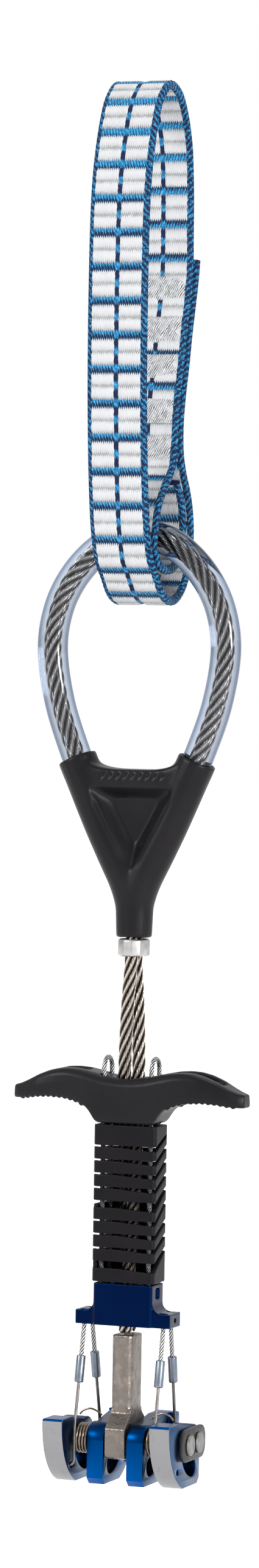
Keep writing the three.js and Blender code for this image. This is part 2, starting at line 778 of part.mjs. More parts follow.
function triggerFront() {
  const tip = triggerHalfSpan;
  const edge = triggerEdgeChamfer;
  const along = (share) => triggerBlockHalfWidth + (tip - triggerBlockHalfWidth) * share;
  const wingRise = triggerWingBottom - triggerBottom;
  const wingFall = triggerWingTop - triggerTipTop;
  const waistRise = triggerWingTop - triggerWaistTop;
  return halfAndMirror([
    ...wingUndersideShares.map(([out, up]) => [along(out), triggerBottom + wingRise * up]),
    [along(wingTipFrom), triggerTipBottom],
    [tip - edge, triggerTipBottom],
    [tip, triggerTipBottom + edge],
    [tip, triggerTipTop - edge],
    [tip - edge, triggerTipTop],
    ...wingTopShares.map(([out, down]) => [along(out), triggerWingTop - wingFall * down]),
    ...waistTopShares.map(([out, up]) => [triggerBlockHalfWidth * out, triggerWaistTop + waistRise * up]),
  ]);
}

function triggerPlan() {
  const tipDepth = triggerHalfDepth * triggerTipDepthShare;
  const quarter = [
    [triggerHalfSpan, tipDepth - triggerTipRound / 2],
    [triggerHalfSpan - triggerTipRound / 3, tipDepth],
    [triggerHalfSpan - triggerTipRound, tipDepth + triggerTipRound / 2],
    [(triggerHalfSpan + triggerBlockHalfWidth) / 2, triggerHalfDepth],
    [triggerBlockHalfWidth, triggerHalfDepth],
  ];
  const upper = halfAndMirror(quarter);
  const lower = upper.map(([x, y]) => [x, -y]).reverse();
  return [...upper, ...lower];
}

function trigger() {
  const body = common(
    prismAlongY(triggerFront(), -triggerHalfDepth, triggerHalfDepth),
    prismAlongZ(triggerPlan(), triggerBottom - overrun, triggerWingTop + overrun),
  );
  const low = triggerBottom - overrun;
  const high = triggerWingTop + overrun;
  const bores = [rodAlongZ(boreRadius(stemBoreRadius, axleSides), low, high, 0, 0)];
  const wingMiddle = (wingPocketFrom + wingPocketTo) / 2;
  const wingHalf = (wingPocketTo - wingPocketFrom) / 2;
  for (const side of SIDES_OF_AXIS) {
    for (const face of SIDES_OF_AXIS) {
      bores.push(rodAlongZ(cableHoleRadius, low, high, side * cableAcross, face * cableDepth, smallHoleSides));
    }
    const pocket = roundedRectangle(wingHalf, wingPocketHalfWidth, wingPocketHalfWidth / 2, slotSteps / 4)
      .map(([x, y]) => [x + side * wingMiddle, y]);
    bores.push(prismAlongZ(pocket, triggerWingTop - wingPocketDepth, high));
  }
  return cut(body, bores);
}

function triggerCable(side) {
  const bottom = yokeTop - yokeBlindDepth + seatGap;
  const x = side * cableAcross;
  const run = cableBendTop - cableRadius - cableDepth;
  const legSteps = cableRunSteps;
  const leg = Array.from({ length: legSteps }, (_, i) => bottom + (run - bottom) * i / legSteps);
  const bend = arc(0, run, cableDepth, Math.PI, 0, cableBendSteps);
  const route = [
    ...leg.map((z) => [x, -cableDepth, z]),
    ...bend.map(([y, z]) => [x, y, z]),
    ...leg.slice().reverse().map((z) => [x, cableDepth, z]),
  ];
  return tubeAlong(route, cableRadius, cableSides, route.length * 2);
}

// Upper edges and heights of the slits in the sleeve's front, from the top down
function sleeveSlits() {
  const slits = [];
  let z = sleeveTop - sleeveTopRing;
  for (let i = 0; i <= 2 * sleeveRibsPerRun; i += 1) {
    const height = i > 0 && i % sleeveRibsPerRun === 0 ? sleeveWideSlit : sleeveSlit;
    slits.push([z, height]);
    z -= height + sleeveRib;
  }
  return slits;
}

function sleeve() {
  const steps = sleeveCornerSteps;
  const shell = prismAlongZ(
    roundedRectangle(sleeveHalfWidth, sleeveHalfDepth, sleeveCornerRadius, steps), sleeveBottom, sleeveTop);
  const boreWidth = sleeveHalfWidth - sleeveSideWall;
  const boreDepth = sleeveHalfDepth - sleeveFaceWall;
  const bore = prismAlongZ(
    roundedRectangle(boreWidth, boreDepth, sleeveCornerRadius - sleeveFaceWall, steps),
    sleeveBottom - overrun, sleeveTop + overrun);
  const faceEdge = boreDepth - sleeveCornerRadius + sleeveFaceWall;
  const outside = sleeveHalfDepth + overrun;
  const cutters = [];
  let behind = sleeveTop - sleeveTopRing + topSlitClimb;
  sleeveSlits().forEach(([upper, height], i) => {
    const lower = upper - height;
    const width = sleeveHalfWidth + overrun;
    cutters.push(prismAlongY([
      [-width, lower], [slitFlareFrom, lower], [sleeveHalfWidth, lower - slitFlare], [width, lower - slitFlare],
      [width, upper], [-width, upper],
    ], -outside, -faceEdge));
    const climb = faceEdge + runningGap;
    cutters.push(prismAlongX([
      [-climb, lower - slitFlare], [climb, behind - sleeveSideSlit], [climb, behind], [-climb, upper],
    ], 0, width));
    if (i > 0) {
      const back = [[-width, behind - sleeveSideSlit], [width, behind - sleeveSideSlit], [width, behind], [-width, behind]];
      cutters.push(prismAlongY(back, faceEdge, outside));
      cutters.push(prismAlongX([
        [-climb, behind - sleeveSideSlit], [climb, behind - sleeveSideSlit], [climb, behind], [-climb, behind],
      ], -width, 0));
    }
    behind = upper;
  });
  return cut(shell, [bore, ...cutters]);
}

function yoke() {
  const armTop = yokeBottom + yokeArmHeight;
  const fillet = arc(yokeBlockHalfWidth + yokeFillet, armTop + yokeFillet, yokeFillet,
    3 * RIGHT_ANGLE, 2 * RIGHT_ANGLE, yokeFilletSteps);
  const front = halfAndMirror([
    [yokeArmHalfSpan, yokeBottom], [yokeArmHalfSpan, armTop], ...fillet, [yokeBlockHalfWidth, yokeTop],
  ]);
  const arms = prismAlongY(front, -yokeArmHalfDepth, yokeArmHalfDepth);
  const plan = roundedRectangle(yokeBlockHalfWidth, yokeBlockHalfDepth, yokeCornerRadius, sleeveCornerSteps);
  const block = prismAlongZ(plan, yokeBottom, yokeTop);
  const slot = roundedRectangle(yokeHoleHalfWidth, yokeHoleHalfLength, yokeHoleCornerRadius, sleeveCornerSteps);
  const recess = roundedRectangle(yokePocketHalfWidth, yokePocketHeight / 2, yokePocketHalfWidth / 2, sleeveCornerSteps);
  const low = yokeBottom - overrun;
  const cutters = [rodAlongZ(boreRadius(stemBoreRadius, axleSides), low, yokeTop + overrun, 0, 0)];
  for (const side of SIDES_OF_AXIS) {
    for (const face of SIDES_OF_AXIS) {
      const oblong = slot.map(([x, y]) => [x + side * yokeHoleAcross, y + face * yokeHoleDepth]);
      cutters.push(prismAlongZ(oblong, low, armTop + overrun));
      cutters.push(rodAlongZ(cableHoleRadius, yokeTop - yokeBlindDepth, yokeTop + overrun,
        side * cableAcross, face * cableDepth, smallHoleSides));
    }
    const wall = yokeBlockHalfWidth - yokePocketDepth;
    const [from, to] = side > 0 ? [wall, wall + overrun] : [-wall - overrun, -wall];
    const middle = (armTop + yokeFillet + yokeTop) / 2;
    cutters.push(prismAlongX(recess.map(([y, z]) => [y, z + middle]), from, to));
    const end = yokeArmHalfSpan - yokePinHoleDepth;
    const [pinFrom, pinTo] = side > 0 ? [end, end + overrun] : [-end - overrun, -end];
    cutters.push(rodAlongX(yokePinHoleRadius, pinFrom, pinTo, 0, yokeBottom + yokeArmHeight / 2, ropeSides));
  }
  return cut(joined([arms, block]), cutters);
}

function addTrigger() {
  place('trigger', trigger(), blackPlastic);
  place('trigger_cable_left', triggerCable(-1), bareSteel);
  place('trigger_cable_right', triggerCable(1), bareSteel);
  place('sleeve', sleeve(), blackPlastic);
  place('yoke', yoke(), navyAnodised);
}

// Pull links, one to each cam

// A point on the link's straight line from the cam's hook to the yoke's hole, at a height. Below
// the height where it clears the hook, it stays over the hook hole.
function linkPoint(link, z) {
  const rise = Math.max((z - wireStraightTop) / (yokeBottom - wireStraightTop), 0);
  const lean = (z + hookHoleDrop) / (yokeBottom + hookHoleDrop);
  return new THREE.Vector3(
    link.side * (link.across + (yokeHoleAcross - link.across) * lean),
    link.holeY + (link.grip * yokeHoleDepth - link.holeY) * rise,
    z,
  );
}

// Route of the hooked wire, from inside the cam's hook hole up into the ferrule
function wireRoute(link) {
  const { side, across, face, into, holeY } = link;
  const heights = [
    -hookHoleDrop + hookBend * 2, wireStraightTop - hookBend, wireStraightTop + hookBend,
    ferruleBottom + seatGap, ferruleBottom + ferruleLength / 2 - seatGap,
  ];
  return [
    [side * (face + into * hookDepth), holeY, -hookHoleDrop],
    [side * (across + into * hookBend), holeY, -hookHoleDrop],
    [side * across, holeY, -hookHoleDrop + hookBend],
    ...heights.map((z) => linkPoint(link, z).toArray()),
  ];
}

function ferrule(low, high) {
  const length = low.distanceTo(high);
  const bore = pullWireRadius + runningGap;
  const rim = ferruleRadius - ferruleChamfer;
  const profile = [
    [bore, 0], [rim, 0], [ferruleRadius, ferruleChamfer],
    [ferruleRadius, length - ferruleChamfer], [rim, length], [bore, length], [bore, 0],
  ];
  const geometry = new THREE.LatheGeometry(profile.map(([r, z]) => new THREE.Vector2(r, z)), ferruleSides);
  const up = new THREE.Vector3(0, 1, 0);
  const lean = new THREE.Quaternion().setFromUnitVectors(up, high.clone().sub(low).normalize());
  return geometry.applyQuaternion(lean).translate(low.x, low.y, low.z);
}

function addLinks() {
  const kinds = [
    { name: 'outer', grip: -1, across: outerWireAcross, face: outerCamInboard, into: 1, axle: axlePlace.back },
    { name: 'inner', grip: 1, across: innerWireAcross, face: innerCamOutboard, into: -1, axle: axlePlace.front },
  ];
  for (const side of SIDES_OF_AXIS) {
    const hand = side < 0 ? 'left' : 'right';
    for (const kind of kinds) {
      const link = { ...kind, side, holeY: kind.axle + kind.grip * hookHoleReach };
      const end = `${kind.name}_${hand}`;
      const wire = wireRoute(link);
      const steps = pullWireStepsPerPoint * (wire.length - 1);
      place(`pull_wire_${end}`, tubeAlong(wire, pullWireRadius, pullWireSides, steps), darkSteel);
      const ferruleTop = ferruleBottom + ferruleLength;
      place(`ferrule_${end}`, ferrule(linkPoint(link, ferruleBottom), linkPoint(link, ferruleTop)), darkSteel);
      const stub = [ferruleTop + seatGap, yokeBottom - stubYokeGap].map((z) => linkPoint(link, z).toArray());
      place(`pull_cable_${end}`, tubeAlong(stub, cableRadius, cableSides, 2), bareSteel);
    }
  }
}

// Sling

function slingRoute() {
  const run = (slingHeight - slingEyeHeight) / (1 - slingEyeShare);
  const height = (up) => (up < slingEyeShare
    ? slingEyeHeight * up / slingEyeShare
    : slingEyeHeight + run * (up - slingEyeShare));
  return slingRouteShares.map(([across, up]) => [0, slingSpan * across, slingBottom + height(up)]);
}

function slingWebbing() {
  const curve = smoothThrough(slingRoute());
  const half = webbingThickness / 2;
  const sides = { near: [], far: [] };
  for (let i = 0; i <= slingSteps; i += 1) {
    const point = curve.getPointAt(i / slingSteps);
    const along = curve.getTangentAt(i / slingSteps);
    sides.near.push([point.y - half * along.z, point.z + half * along.y]);
    sides.far.push([point.y + half * along.z, point.z - half * along.y]);
  }
  return prismAlongX([...sides.near, ...sides.far.reverse()], -webbingWidth / 2, webbingWidth / 2);
}

function addSling() {
  place('sling', slingWebbing(), blueWhiteWebbing);
}

addCams();
addAxlesAndSprings();
addStem();
addTrigger();
addLinks();
addSling();

device.position.set(0, -slingSpan * hangAcrossShare, -(slingBottom + slingHeight * hangShare));

const whole = new THREE.Group();
whole.add(device);

export default whole;
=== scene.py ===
"""Looks of a spring loaded camming device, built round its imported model.

Settings and the scene are in metres. Routes, outlines and tables are in millimetres from the
head's centre, midway between the two axles, as in the part's own source.
"""

import json
import math

import bmesh
import bpy
import numpy as np
from bpy.props import FloatProperty, FloatVectorProperty, IntProperty, PointerProperty
from mathutils import Matrix, Vector
from mathutils.geometry import tessellate_polygon

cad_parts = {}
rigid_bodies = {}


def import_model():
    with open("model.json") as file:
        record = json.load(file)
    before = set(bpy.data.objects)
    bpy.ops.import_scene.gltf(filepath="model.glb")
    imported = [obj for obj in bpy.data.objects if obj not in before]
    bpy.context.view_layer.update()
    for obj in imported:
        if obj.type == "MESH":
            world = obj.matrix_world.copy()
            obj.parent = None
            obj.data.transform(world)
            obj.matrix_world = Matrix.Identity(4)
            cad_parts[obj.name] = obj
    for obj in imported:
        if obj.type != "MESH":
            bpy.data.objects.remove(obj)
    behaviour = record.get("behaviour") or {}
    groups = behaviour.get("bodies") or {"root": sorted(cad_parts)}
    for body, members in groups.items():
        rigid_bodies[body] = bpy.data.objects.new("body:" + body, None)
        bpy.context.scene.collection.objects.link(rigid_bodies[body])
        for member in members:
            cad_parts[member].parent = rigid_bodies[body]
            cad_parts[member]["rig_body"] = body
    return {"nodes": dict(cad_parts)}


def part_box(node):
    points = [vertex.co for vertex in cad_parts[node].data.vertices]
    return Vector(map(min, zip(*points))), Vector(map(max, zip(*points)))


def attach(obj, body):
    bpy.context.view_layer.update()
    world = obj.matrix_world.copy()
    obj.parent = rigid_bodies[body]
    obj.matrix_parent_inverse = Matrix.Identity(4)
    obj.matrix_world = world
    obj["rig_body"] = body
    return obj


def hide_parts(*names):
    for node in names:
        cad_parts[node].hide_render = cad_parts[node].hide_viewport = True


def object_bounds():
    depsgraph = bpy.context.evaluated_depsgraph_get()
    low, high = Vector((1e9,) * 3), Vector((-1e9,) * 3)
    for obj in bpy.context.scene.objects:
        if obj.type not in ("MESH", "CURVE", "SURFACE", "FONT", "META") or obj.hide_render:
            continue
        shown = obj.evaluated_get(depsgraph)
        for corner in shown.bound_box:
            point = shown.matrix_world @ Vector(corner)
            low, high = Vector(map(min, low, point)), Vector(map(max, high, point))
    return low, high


bl_info = {
    "name": "Camming device looks",
    "version": (1, 0, 0),
    "blender": (4, 5, 0),
    "location": "3D View > Sidebar > Camming device",
    "description": "Builds the visible pieces of a spring loaded camming device",
    "category": "Add Mesh",
}

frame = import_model()
CAD_BOX = [list(corner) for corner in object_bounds()]

MM = 0.001
TURN = 2 * math.pi
QUARTER = math.pi / 2
SIDES = (("left", -1), ("right", 1))
FACES = (-1, 1)
X_AXIS = np.array([1.0, 0.0, 0.0])
Y_AXIS = np.array([0.0, 1.0, 0.0])


def node_box(node):
    """Lowest and highest corner of a CAD node, as arrays in metres."""
    low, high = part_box(node)
    return np.array(low), np.array(high)


def node_middle(node):
    """Middle of a CAD node's box."""
    low, high = node_box(node)
    return (low + high) / 2


HEAD = (node_middle("axle_front") + node_middle("axle_back")) / 2


def placed(points):
    """Points in millimetres from the head's centre, as metres in the frame."""
    return np.asarray(points, float) * MM + HEAD


# Settings


def number(name, description, default, **more):
    """A number property."""
    return FloatProperty(name=name, description=description, default=default, **more)


def length(name, description, default):
    """A length property in metres."""
    return number(name, description, default, min=0, unit="LENGTH", precision=5)


def angle_of(name, description, degrees):
    """An angle property, its default given in degrees."""
    return number(name, description, math.radians(degrees), subtype="ANGLE")


def colour(name, description, default):
    """A colour property, linear red, green and blue."""
    return FloatVectorProperty(
        name=name, description=description, default=default, subtype="COLOR", size=3, min=0, max=1
    )


class SlingSettings(bpy.types.PropertyGroup):
    """Sizes and colours of the webbing sling."""

    width: length("Width", "Width of the webbing", 0.0128)
    thickness: length("Thickness", "Thickness of the webbing between its selvedges", 0.00165)
    relief: length("Relief", "Height of the woven humps", 0.00034)
    pitch: length("Pitch", "Distance from one cross bar to the next", 0.006815)
    bar: number("Bar", "Share of the pitch that a bar takes", 0.235)
    bar_height: length("Bar height", "Height over the head of one bar on the front run", 0.2166)
    white: colour("White", "Colour of the white cells", (0.7, 0.71, 0.73))
    navy: colour("Navy", "Colour of the dark yarn", (0.002, 0.009, 0.045))
    sky: colour("Sky", "Colour of the bright yarn", (0.04, 0.38, 0.76))
    tack: colour("Tack", "Colour of the tacking thread", (0.74, 0.755, 0.775))


class RopeSettings(bpy.types.PropertyGroup):
    """Sizes and colours of the wire rope, its clear tube and the thin cables."""

    rope_radius: length("Rope radius", "Radius of the main rope", 0.00135)
    cable_radius: length("Cable radius", "Radius of the trigger cables", 0.0005)
    lay: length("Lay", "Length in which a strand circles the main rope once", 0.018)
    cable_lay: length("Cable lay", "Length in which a strand circles a trigger cable once", 0.0046)
    strands: IntProperty(name="Strands", description="Strands that show round a rope", default=6, min=3)
    tube_radius: length("Tube radius", "Outer radius of the clear tube", 0.0031)
    tube_bore: length("Tube bore", "Inner radius of the clear tube", 0.00112)
    rope: colour("Rope", "Colour of the main rope", (0.3, 0.265, 0.235))
    cable: colour("Cable", "Colour of the thin cables", (0.5, 0.5, 0.51))
    tube: colour("Tube", "Tint of the clear tube", (0.07, 0.11, 0.19))


class MouldingSettings(bpy.types.PropertyGroup):
    """Cell sizes and colours of the plastic mouldings, the yoke and the collar."""

    grain: length("Grain", "Size of the cells that the mouldings are rounded with", 0.00024)
    fine_grain: length("Fine grain", "Size of the cells that metal pieces are rounded with", 0.00018)
    sleeve_grain: length("Sleeve grain", "Size of the cells that the sleeve is rounded with", 0.00013)
    plastic: colour("Plastic", "Colour of the black plastic", (0.0055, 0.0048, 0.0063))
    yoke: colour("Yoke", "Colour of the anodised yoke", (0.0008, 0.0064, 0.034))
    collar: colour("Collar", "Colour of the pressed collar", (0.36, 0.355, 0.35))


class HeadSettings(bpy.types.PropertyGroup):
    """Sizes and colours of the head: terminal, axles, plates, springs, cams and links."""

    cam_edge: length("Cam edge", "Width of the broken edges of a cam", 0.00022)
    plate_edge: length("Plate edge", "Width of the rounded edges of an end plate", 0.00022)
    spring_wire: length("Spring wire", "Radius of the spring wire", 0.00034)
    spring_coil: length("Spring coil", "Radius of the spring's coil at its wire", 0.0028)
    spring_turns: number("Spring turns", "Turns of a cam spring", 3.5)
    blue: colour("Blue", "Colour of the anodised cams", (0.0, 0.0135, 0.055))
    grip: colour("Grip", "Colour of the bare grip face", (0.225, 0.225, 0.232))
    terminal: colour("Terminal", "Colour of the rope terminal", (0.15, 0.13, 0.116))
    plate: colour("Plate", "Colour of the end plates", (0.04, 0.039, 0.042))
    rivet: colour("Rivet", "Colour of the axles", (0.165, 0.162, 0.16))
    spring: colour("Spring", "Colour of the springs", (0.16, 0.13, 0.1))
    wire: colour("Wire", "Colour of the hooked wires", (0.13, 0.12, 0.115))
    ferrule: colour("Ferrule", "Colour of the ferrules", (0.147, 0.17, 0.205))


class StageSettings(bpy.types.PropertyGroup):
    """Camera and floor."""

    azimuth: angle_of("Azimuth", "Angle of the camera round the stem", 21.2)
    elevation: angle_of("Elevation", "Height angle of the camera", 1.7)
    roll: angle_of("Roll", "Lean of the picture", 0.95)
    distance: length("Distance", "Distance from the camera to the stem", 1.0875)
    focal_pixels: number("Focal length", "Focal length in pixels", 8800)
    picture_height: number("Picture height", "Height of the picture in pixels", 2576)
    aim_height: length("Aim height", "Height over the head at which the camera looks", 0.1334)
    aim_across: number("Aim across", "Distance that the camera aims to the side", -0.00144, unit="LENGTH")
    floor_drop: length("Floor drop", "Distance from the lowest cam down to the floor", 0.06)


SETTINGS = {
    "cam_sling": SlingSettings,
    "cam_rope": RopeSettings,
    "cam_moulding": MouldingSettings,
    "cam_head": HeadSettings,
    "cam_stage": StageSettings,
}


# Curves


def xyz(x, y, z):
    """Points from their three coordinates, each an array or one number for all."""
    return np.stack(np.broadcast_arrays(x, y, z), -1).astype(float)


def around(angles):
    """Points of the unit circle at the given angles."""
    return np.stack([np.cos(angles), np.sin(angles)], 1)


def unit(vectors):
    """The vectors, each with a length of 1."""
    return vectors / np.linalg.norm(vectors, axis=-1, keepdims=True)


def run_length(curve):
    """Length of the line up to each of its points."""
    return np.concatenate([[0], np.cumsum(np.linalg.norm(np.diff(curve, axis=0), axis=1))])


def even_route(curve, spacing):
    """The same line with its points an even distance apart."""
    run = run_length(curve)
    marks = np.linspace(0, run[-1], max(3, int(round(run[-1] / spacing)) + 1))
    return np.stack([np.interp(marks, run, curve[:, axis]) for axis in range(3)], 1)


def smooth_route(points, spacing, per_span=40):
    """A centripetal Catmull-Rom curve through the points, sampled at even steps of its length.

    Between two points the curve blends straight lines through four neighbours, with knots
    spaced by the square root of the distance between points.
    """
    points = np.asarray(points, float)
    ends = np.vstack([2 * points[0] - points[1], points, 2 * points[-1] - points[-2]])
    knots = np.concatenate([[0], np.cumsum(np.sqrt(np.linalg.norm(np.diff(ends, axis=0), axis=1)))])
    at = np.linspace(1, len(points), (len(points) - 1) * per_span + 1)
    span = np.minimum(at.astype(int), len(points) - 1)
    knot = [knots[span + k - 1][:, None] for k in range(4)]
    point = [ends[span + k - 1] for k in range(4)]
    t = knot[1] + (at - span)[:, None] * (knot[2] - knot[1])

    def between(a, b, low, high):
        return (a * (high - t) + b * (t - low)) / (high - low)

    first = [between(point[k], point[k + 1], knot[k], knot[k + 1]) for k in range(3)]
    second = [between(first[k], first[k + 1], knot[k], knot[k + 2]) for k in range(2)]
    return even_route(between(*second, knot[1], knot[2]), spacing)


def square_to(curve, reference):
    """Two unit vectors square to the line at each point, the second as near as can be to reference."""
    along = unit(np.gradient(curve, axis=0))
    first = unit(np.cross(along, reference))
    return first, np.cross(first, along)


def ring_angles(sides):
    """Even angles round a full turn."""
    return np.arange(sides) * TURN / sides


def rings(first, second, sides):
    """Directions at even angles in the plane of each pair of unit vectors."""
    angles = ring_angles(sides)[:, None]
    return np.cos(angles) * first[..., None, :] + np.sin(angles) * second[..., None, :]


# Surfaces


class Surface:
    """A surface as arrays: points, four-cornered faces with their corners' coordinates, and other faces."""

    def __init__(self, points, quads, corners, others=()):
        self.points, self.quads, self.corners, self.others = points, quads, corners, list(others)


def grid_surface(points, closed_rows=False, row_marks=None, column_marks=None, caps=True):
    """Faces between neighbouring rows and columns of a grid of points, with flat caps on open ends.

    The columns close on themselves. The marks are the faces' own coordinates.
    """
    rows, columns = points.shape[:2]
    last = rows if closed_rows else rows - 1
    row, column = np.meshgrid(np.arange(last), np.arange(columns), indexing="ij")
    rows_of = np.stack([row, row + 1, row + 1, row], -1).reshape(-1, 4)
    columns_of = np.stack([column, column, column + 1, column + 1], -1).reshape(-1, 4)
    quads = (rows_of % rows) * columns + columns_of % columns
    row_marks = np.arange(rows + 1.0) if row_marks is None else np.append(row_marks, row_marks[-1])
    if column_marks is None:
        column_marks = np.linspace(0, 1, columns + 1)
    corners = np.stack([row_marks[rows_of], column_marks[columns_of]], -1)
    others = []
    if caps and not closed_rows:
        first = np.arange(columns)
        others = [first[::-1].tolist(), (first + (rows - 1) * columns).tolist()]
    return Surface(points.reshape(-1, 3), quads, corners, others)


def together(surfaces):
    """Several surfaces as one."""
    starts = np.cumsum([0] + [len(s.points) for s in surfaces[:-1]])
    return Surface(
        np.concatenate([s.points for s in surfaces]),
        np.concatenate([s.quads + start for s, start in zip(surfaces, starts)]),
        np.concatenate([s.corners for s in surfaces]),
        [[i + int(start) for i in face] for s, start in zip(surfaces, starts) for face in s.others],
    )


# Share of a tube's radius that is left at a rounded end, and of a rope's radius that a strand takes
END_SHARE, STRAND_SHARE = 0.35, 0.345


def tube(curve, radius, sides, reference, rounded=0.0):
    """A round tube: every point of the line carries a ring square to it.

    The ring's radius falls away over the rounded length at both ends as a quarter circle does.
    """
    run = run_length(curve)
    radii = np.full(len(curve), float(radius))
    if rounded:
        near = np.clip(np.minimum(run, run[-1] - run) / rounded, 0, 1)
        radii *= END_SHARE + (1 - END_SHARE) * np.sqrt(1 - (1 - near) ** 2)
    ring = rings(*square_to(curve, reference), sides)
    return grid_surface(curve[:, None] + radii[:, None, None] * ring, row_marks=run)


def wire_rope(curve, radius, strands, lay, reference, sides=8):
    """A wire rope: each strand's centre circles the rope's line once in every lay, round a core.

    A strand's centre runs at two thirds of the rope's radius, where neighbours just meet. A quarter
    of the way round a strand, its surface points away from the rope's line.
    """
    first, second = square_to(curve, reference)
    run = run_length(curve)
    made = [tube(curve, radius / 3, 6, reference)]
    for start in ring_angles(strands):
        angle = (start - TURN * run / lay)[:, None]
        outwards = np.cos(angle) * first + np.sin(angle) * second
        centre = curve + radius * 2 / 3 * outwards
        made.append(tube(centre, radius * STRAND_SHARE, sides, outwards, rounded=radius / 2))
    return together(made)


def thin_cable(line, rope, reference, sides=6):
    """A trigger cable along the line."""
    return wire_rope(line, rope.cable_radius, rope.strands, rope.cable_lay, reference, sides)


def lathe(profile, start, towards, sides):
    """Grid of a turned piece: the profile's pairs of distance along the axis and radius, carried round it."""
    axis = unit(np.asarray(towards, float) - start)
    first = unit(np.cross(axis, X_AXIS if abs(axis[0]) < 0.9 else Y_AXIS))
    ring = rings(first, np.cross(axis, first), sides)
    along, radius = np.asarray(profile, float).T[..., None, None]
    return start + along * axis + radius * ring


def outward(loop):
    """Unit vectors square to a closed outline that runs anticlockwise, pointing out of it."""
    along = np.roll(loop, -1, axis=0) - np.roll(loop, 1, axis=0)
    return unit(np.stack([along[:, 1], -along[:, 0]], 1))


def plate(loops, low, high, edge, axes=(1, 2, 0), steps=3):
    """A flat piece with rounded edges: outlines carried from one face to the other.

    The first outline runs anticlockwise and holes run clockwise. Towards each face an outline is
    drawn in along a quarter circle of the edge's radius, and the faces are filled between outlines.
    axes gives the frame's axes for the outline's two coordinates and for the thickness.
    """
    quarter = np.linspace(0, QUARTER, steps)
    rise = edge * (1 - np.cos(quarter))
    draw = edge * (1 - np.sin(quarter))
    levels, draws = np.concatenate([low + rise, high - rise[::-1]]), np.concatenate([draw, draw[::-1]])
    walls, ends, flat, start = [], [], [], 0
    for loop in loops:
        loop = np.asarray(loop, float)
        drawn = loop[None] - draws[:, None, None] * outward(loop)[None]
        grid = np.empty(drawn.shape[:2] + (3,))
        grid[..., axes[0]], grid[..., axes[1]] = drawn[..., 0], drawn[..., 1]
        grid[..., axes[2]] = levels[:, None]
        walls.append(grid_surface(grid, caps=False))
        ends.append(start + np.arange(len(loop)) + np.array([[0], [(len(levels) - 1) * len(loop)]]))
        flat.append([Vector((*point, 0)) for point in drawn[0]])
        start += len(levels) * len(loop)
    whole = together(walls)
    first, last = np.concatenate(ends, 1)
    for triangle in tessellate_polygon(flat):
        whole.others.append([int(first[i]) for i in triangle])
        whole.others.append([int(last[i]) for i in reversed(triangle)])
    return whole


def edited(mesh, edit):
    """The mesh, once a function has changed it as a BMesh."""
    shell = bmesh.new()
    shell.from_mesh(mesh)
    edit(shell)
    shell.to_mesh(mesh)
    shell.free()
    return mesh


def mesh_of(name, surface):
    """A mesh with the surface's faces, all facing outwards, and its corners' coordinates as a UV map."""
    mesh = bpy.data.meshes.new(name)
    mesh.from_pydata(surface.points.tolist(), [], surface.quads.tolist() + surface.others)
    values = np.zeros((len(mesh.loops), 2), np.float32)
    corners = surface.corners.reshape(-1, 2)
    values[: len(corners)] = corners
    mesh.uv_layers.new(name="UVMap").data.foreach_set("uv", values.ravel())
    return edited(mesh, lambda shell: bmesh.ops.recalc_face_normals(shell, faces=shell.faces))


def values_of(items, key):
    """One vector of each item, as the rows of an array."""
    values = np.empty(len(items) * 3)
    items.foreach_get(key, values)
    return values.reshape(-1, 3)


def add_object(name, data):
    """A new object in the scene."""
    made = bpy.data.objects.new(name, data)
    bpy.context.scene.collection.objects.link(made)
    return made


def add_piece(name, shape, material, nodes, smooth_angle=35):
    """An object for the mesh or surface, which rides on its node's body and stands for the CAD nodes.

    Edges that turn by more than the smooth angle, in degrees, stay sharp.
    """
    mesh = mesh_of(name, shape) if isinstance(shape, Surface) else shape
    piece = add_object(name, mesh)
    for one in material if isinstance(material, list) else [material]:
        mesh.materials.append(one)
    mesh.shade_smooth()
    mesh.set_sharp_from_angle(angle=math.radians(smooth_angle))
    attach(piece, frame["nodes"][nodes[0]]["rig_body"])
    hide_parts(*nodes)
    return piece


def cad_copy(name, node):
    """A copy of a CAD node's mesh with its loose triangles joined."""
    mesh = frame["nodes"][node].data.copy()
    mesh.name = name
    mesh.materials.clear()

    def join(shell):
        bmesh.ops.remove_doubles(shell, verts=shell.verts, dist=1e-6)
        flat = math.radians(0.5)
        bmesh.ops.dissolve_limit(shell, angle_limit=flat, verts=shell.verts, edges=shell.edges)

    return edited(mesh, join)


def settled(piece):
    """Replaces the piece's mesh with the result of its modifiers."""
    done = piece.evaluated_get(bpy.context.evaluated_depsgraph_get())
    mesh = bpy.data.meshes.new_from_object(done)
    old = piece.data
    piece.modifiers.clear()
    piece.data = mesh
    bpy.data.meshes.remove(old)
    mesh.name = piece.name
    mesh.shade_smooth()
    return piece


def bored(piece, cutters):
    """Cuts the closed surfaces given out of the piece."""
    tools = [add_object(f"{piece.name}_tool_{i}", mesh_of("tool", each)) for i, each in enumerate(cutters)]
    for tool in tools:
        step = piece.modifiers.new("Bore", "BOOLEAN")
        step.operation, step.solver, step.object = "DIFFERENCE", "EXACT", tool
    settled(piece)
    for tool in tools:
        spare = tool.data
        bpy.data.objects.remove(tool)
        bpy.data.meshes.remove(spare)
    return piece


def relax(piece, passes, group=""):
    """Adds a modifier that smooths the piece, as far as a group of its points says."""
    step = piece.modifiers.new("Relax", "SMOOTH")
    step.factor, step.iterations, step.vertex_group = 0.5, passes, group


def relaxed(piece, weights, passes):
    """Smooths the piece as far as its points' weights say."""
    group = piece.vertex_groups.new(name="Relax")
    for level in range(1, 11):
        group.add(np.flatnonzero(np.round(weights * 10) == level).tolist(), level / 10, "REPLACE")
    relax(piece, passes, group.name)
    return settled(piece)


def moulded(piece, grain, passes, kept=1.0):
    """Rounds a piece's edges as a mould does: remeshed in even cells, relaxed, and thinned out."""
    remesh = piece.modifiers.new("Cells", "REMESH")
    remesh.mode, remesh.voxel_size, remesh.use_smooth_shade = "VOXEL", grain, True
    relax(piece, passes)
    if kept < 1:
        piece.modifiers.new("Thin", "DECIMATE").ratio = kept
    return settled(piece)


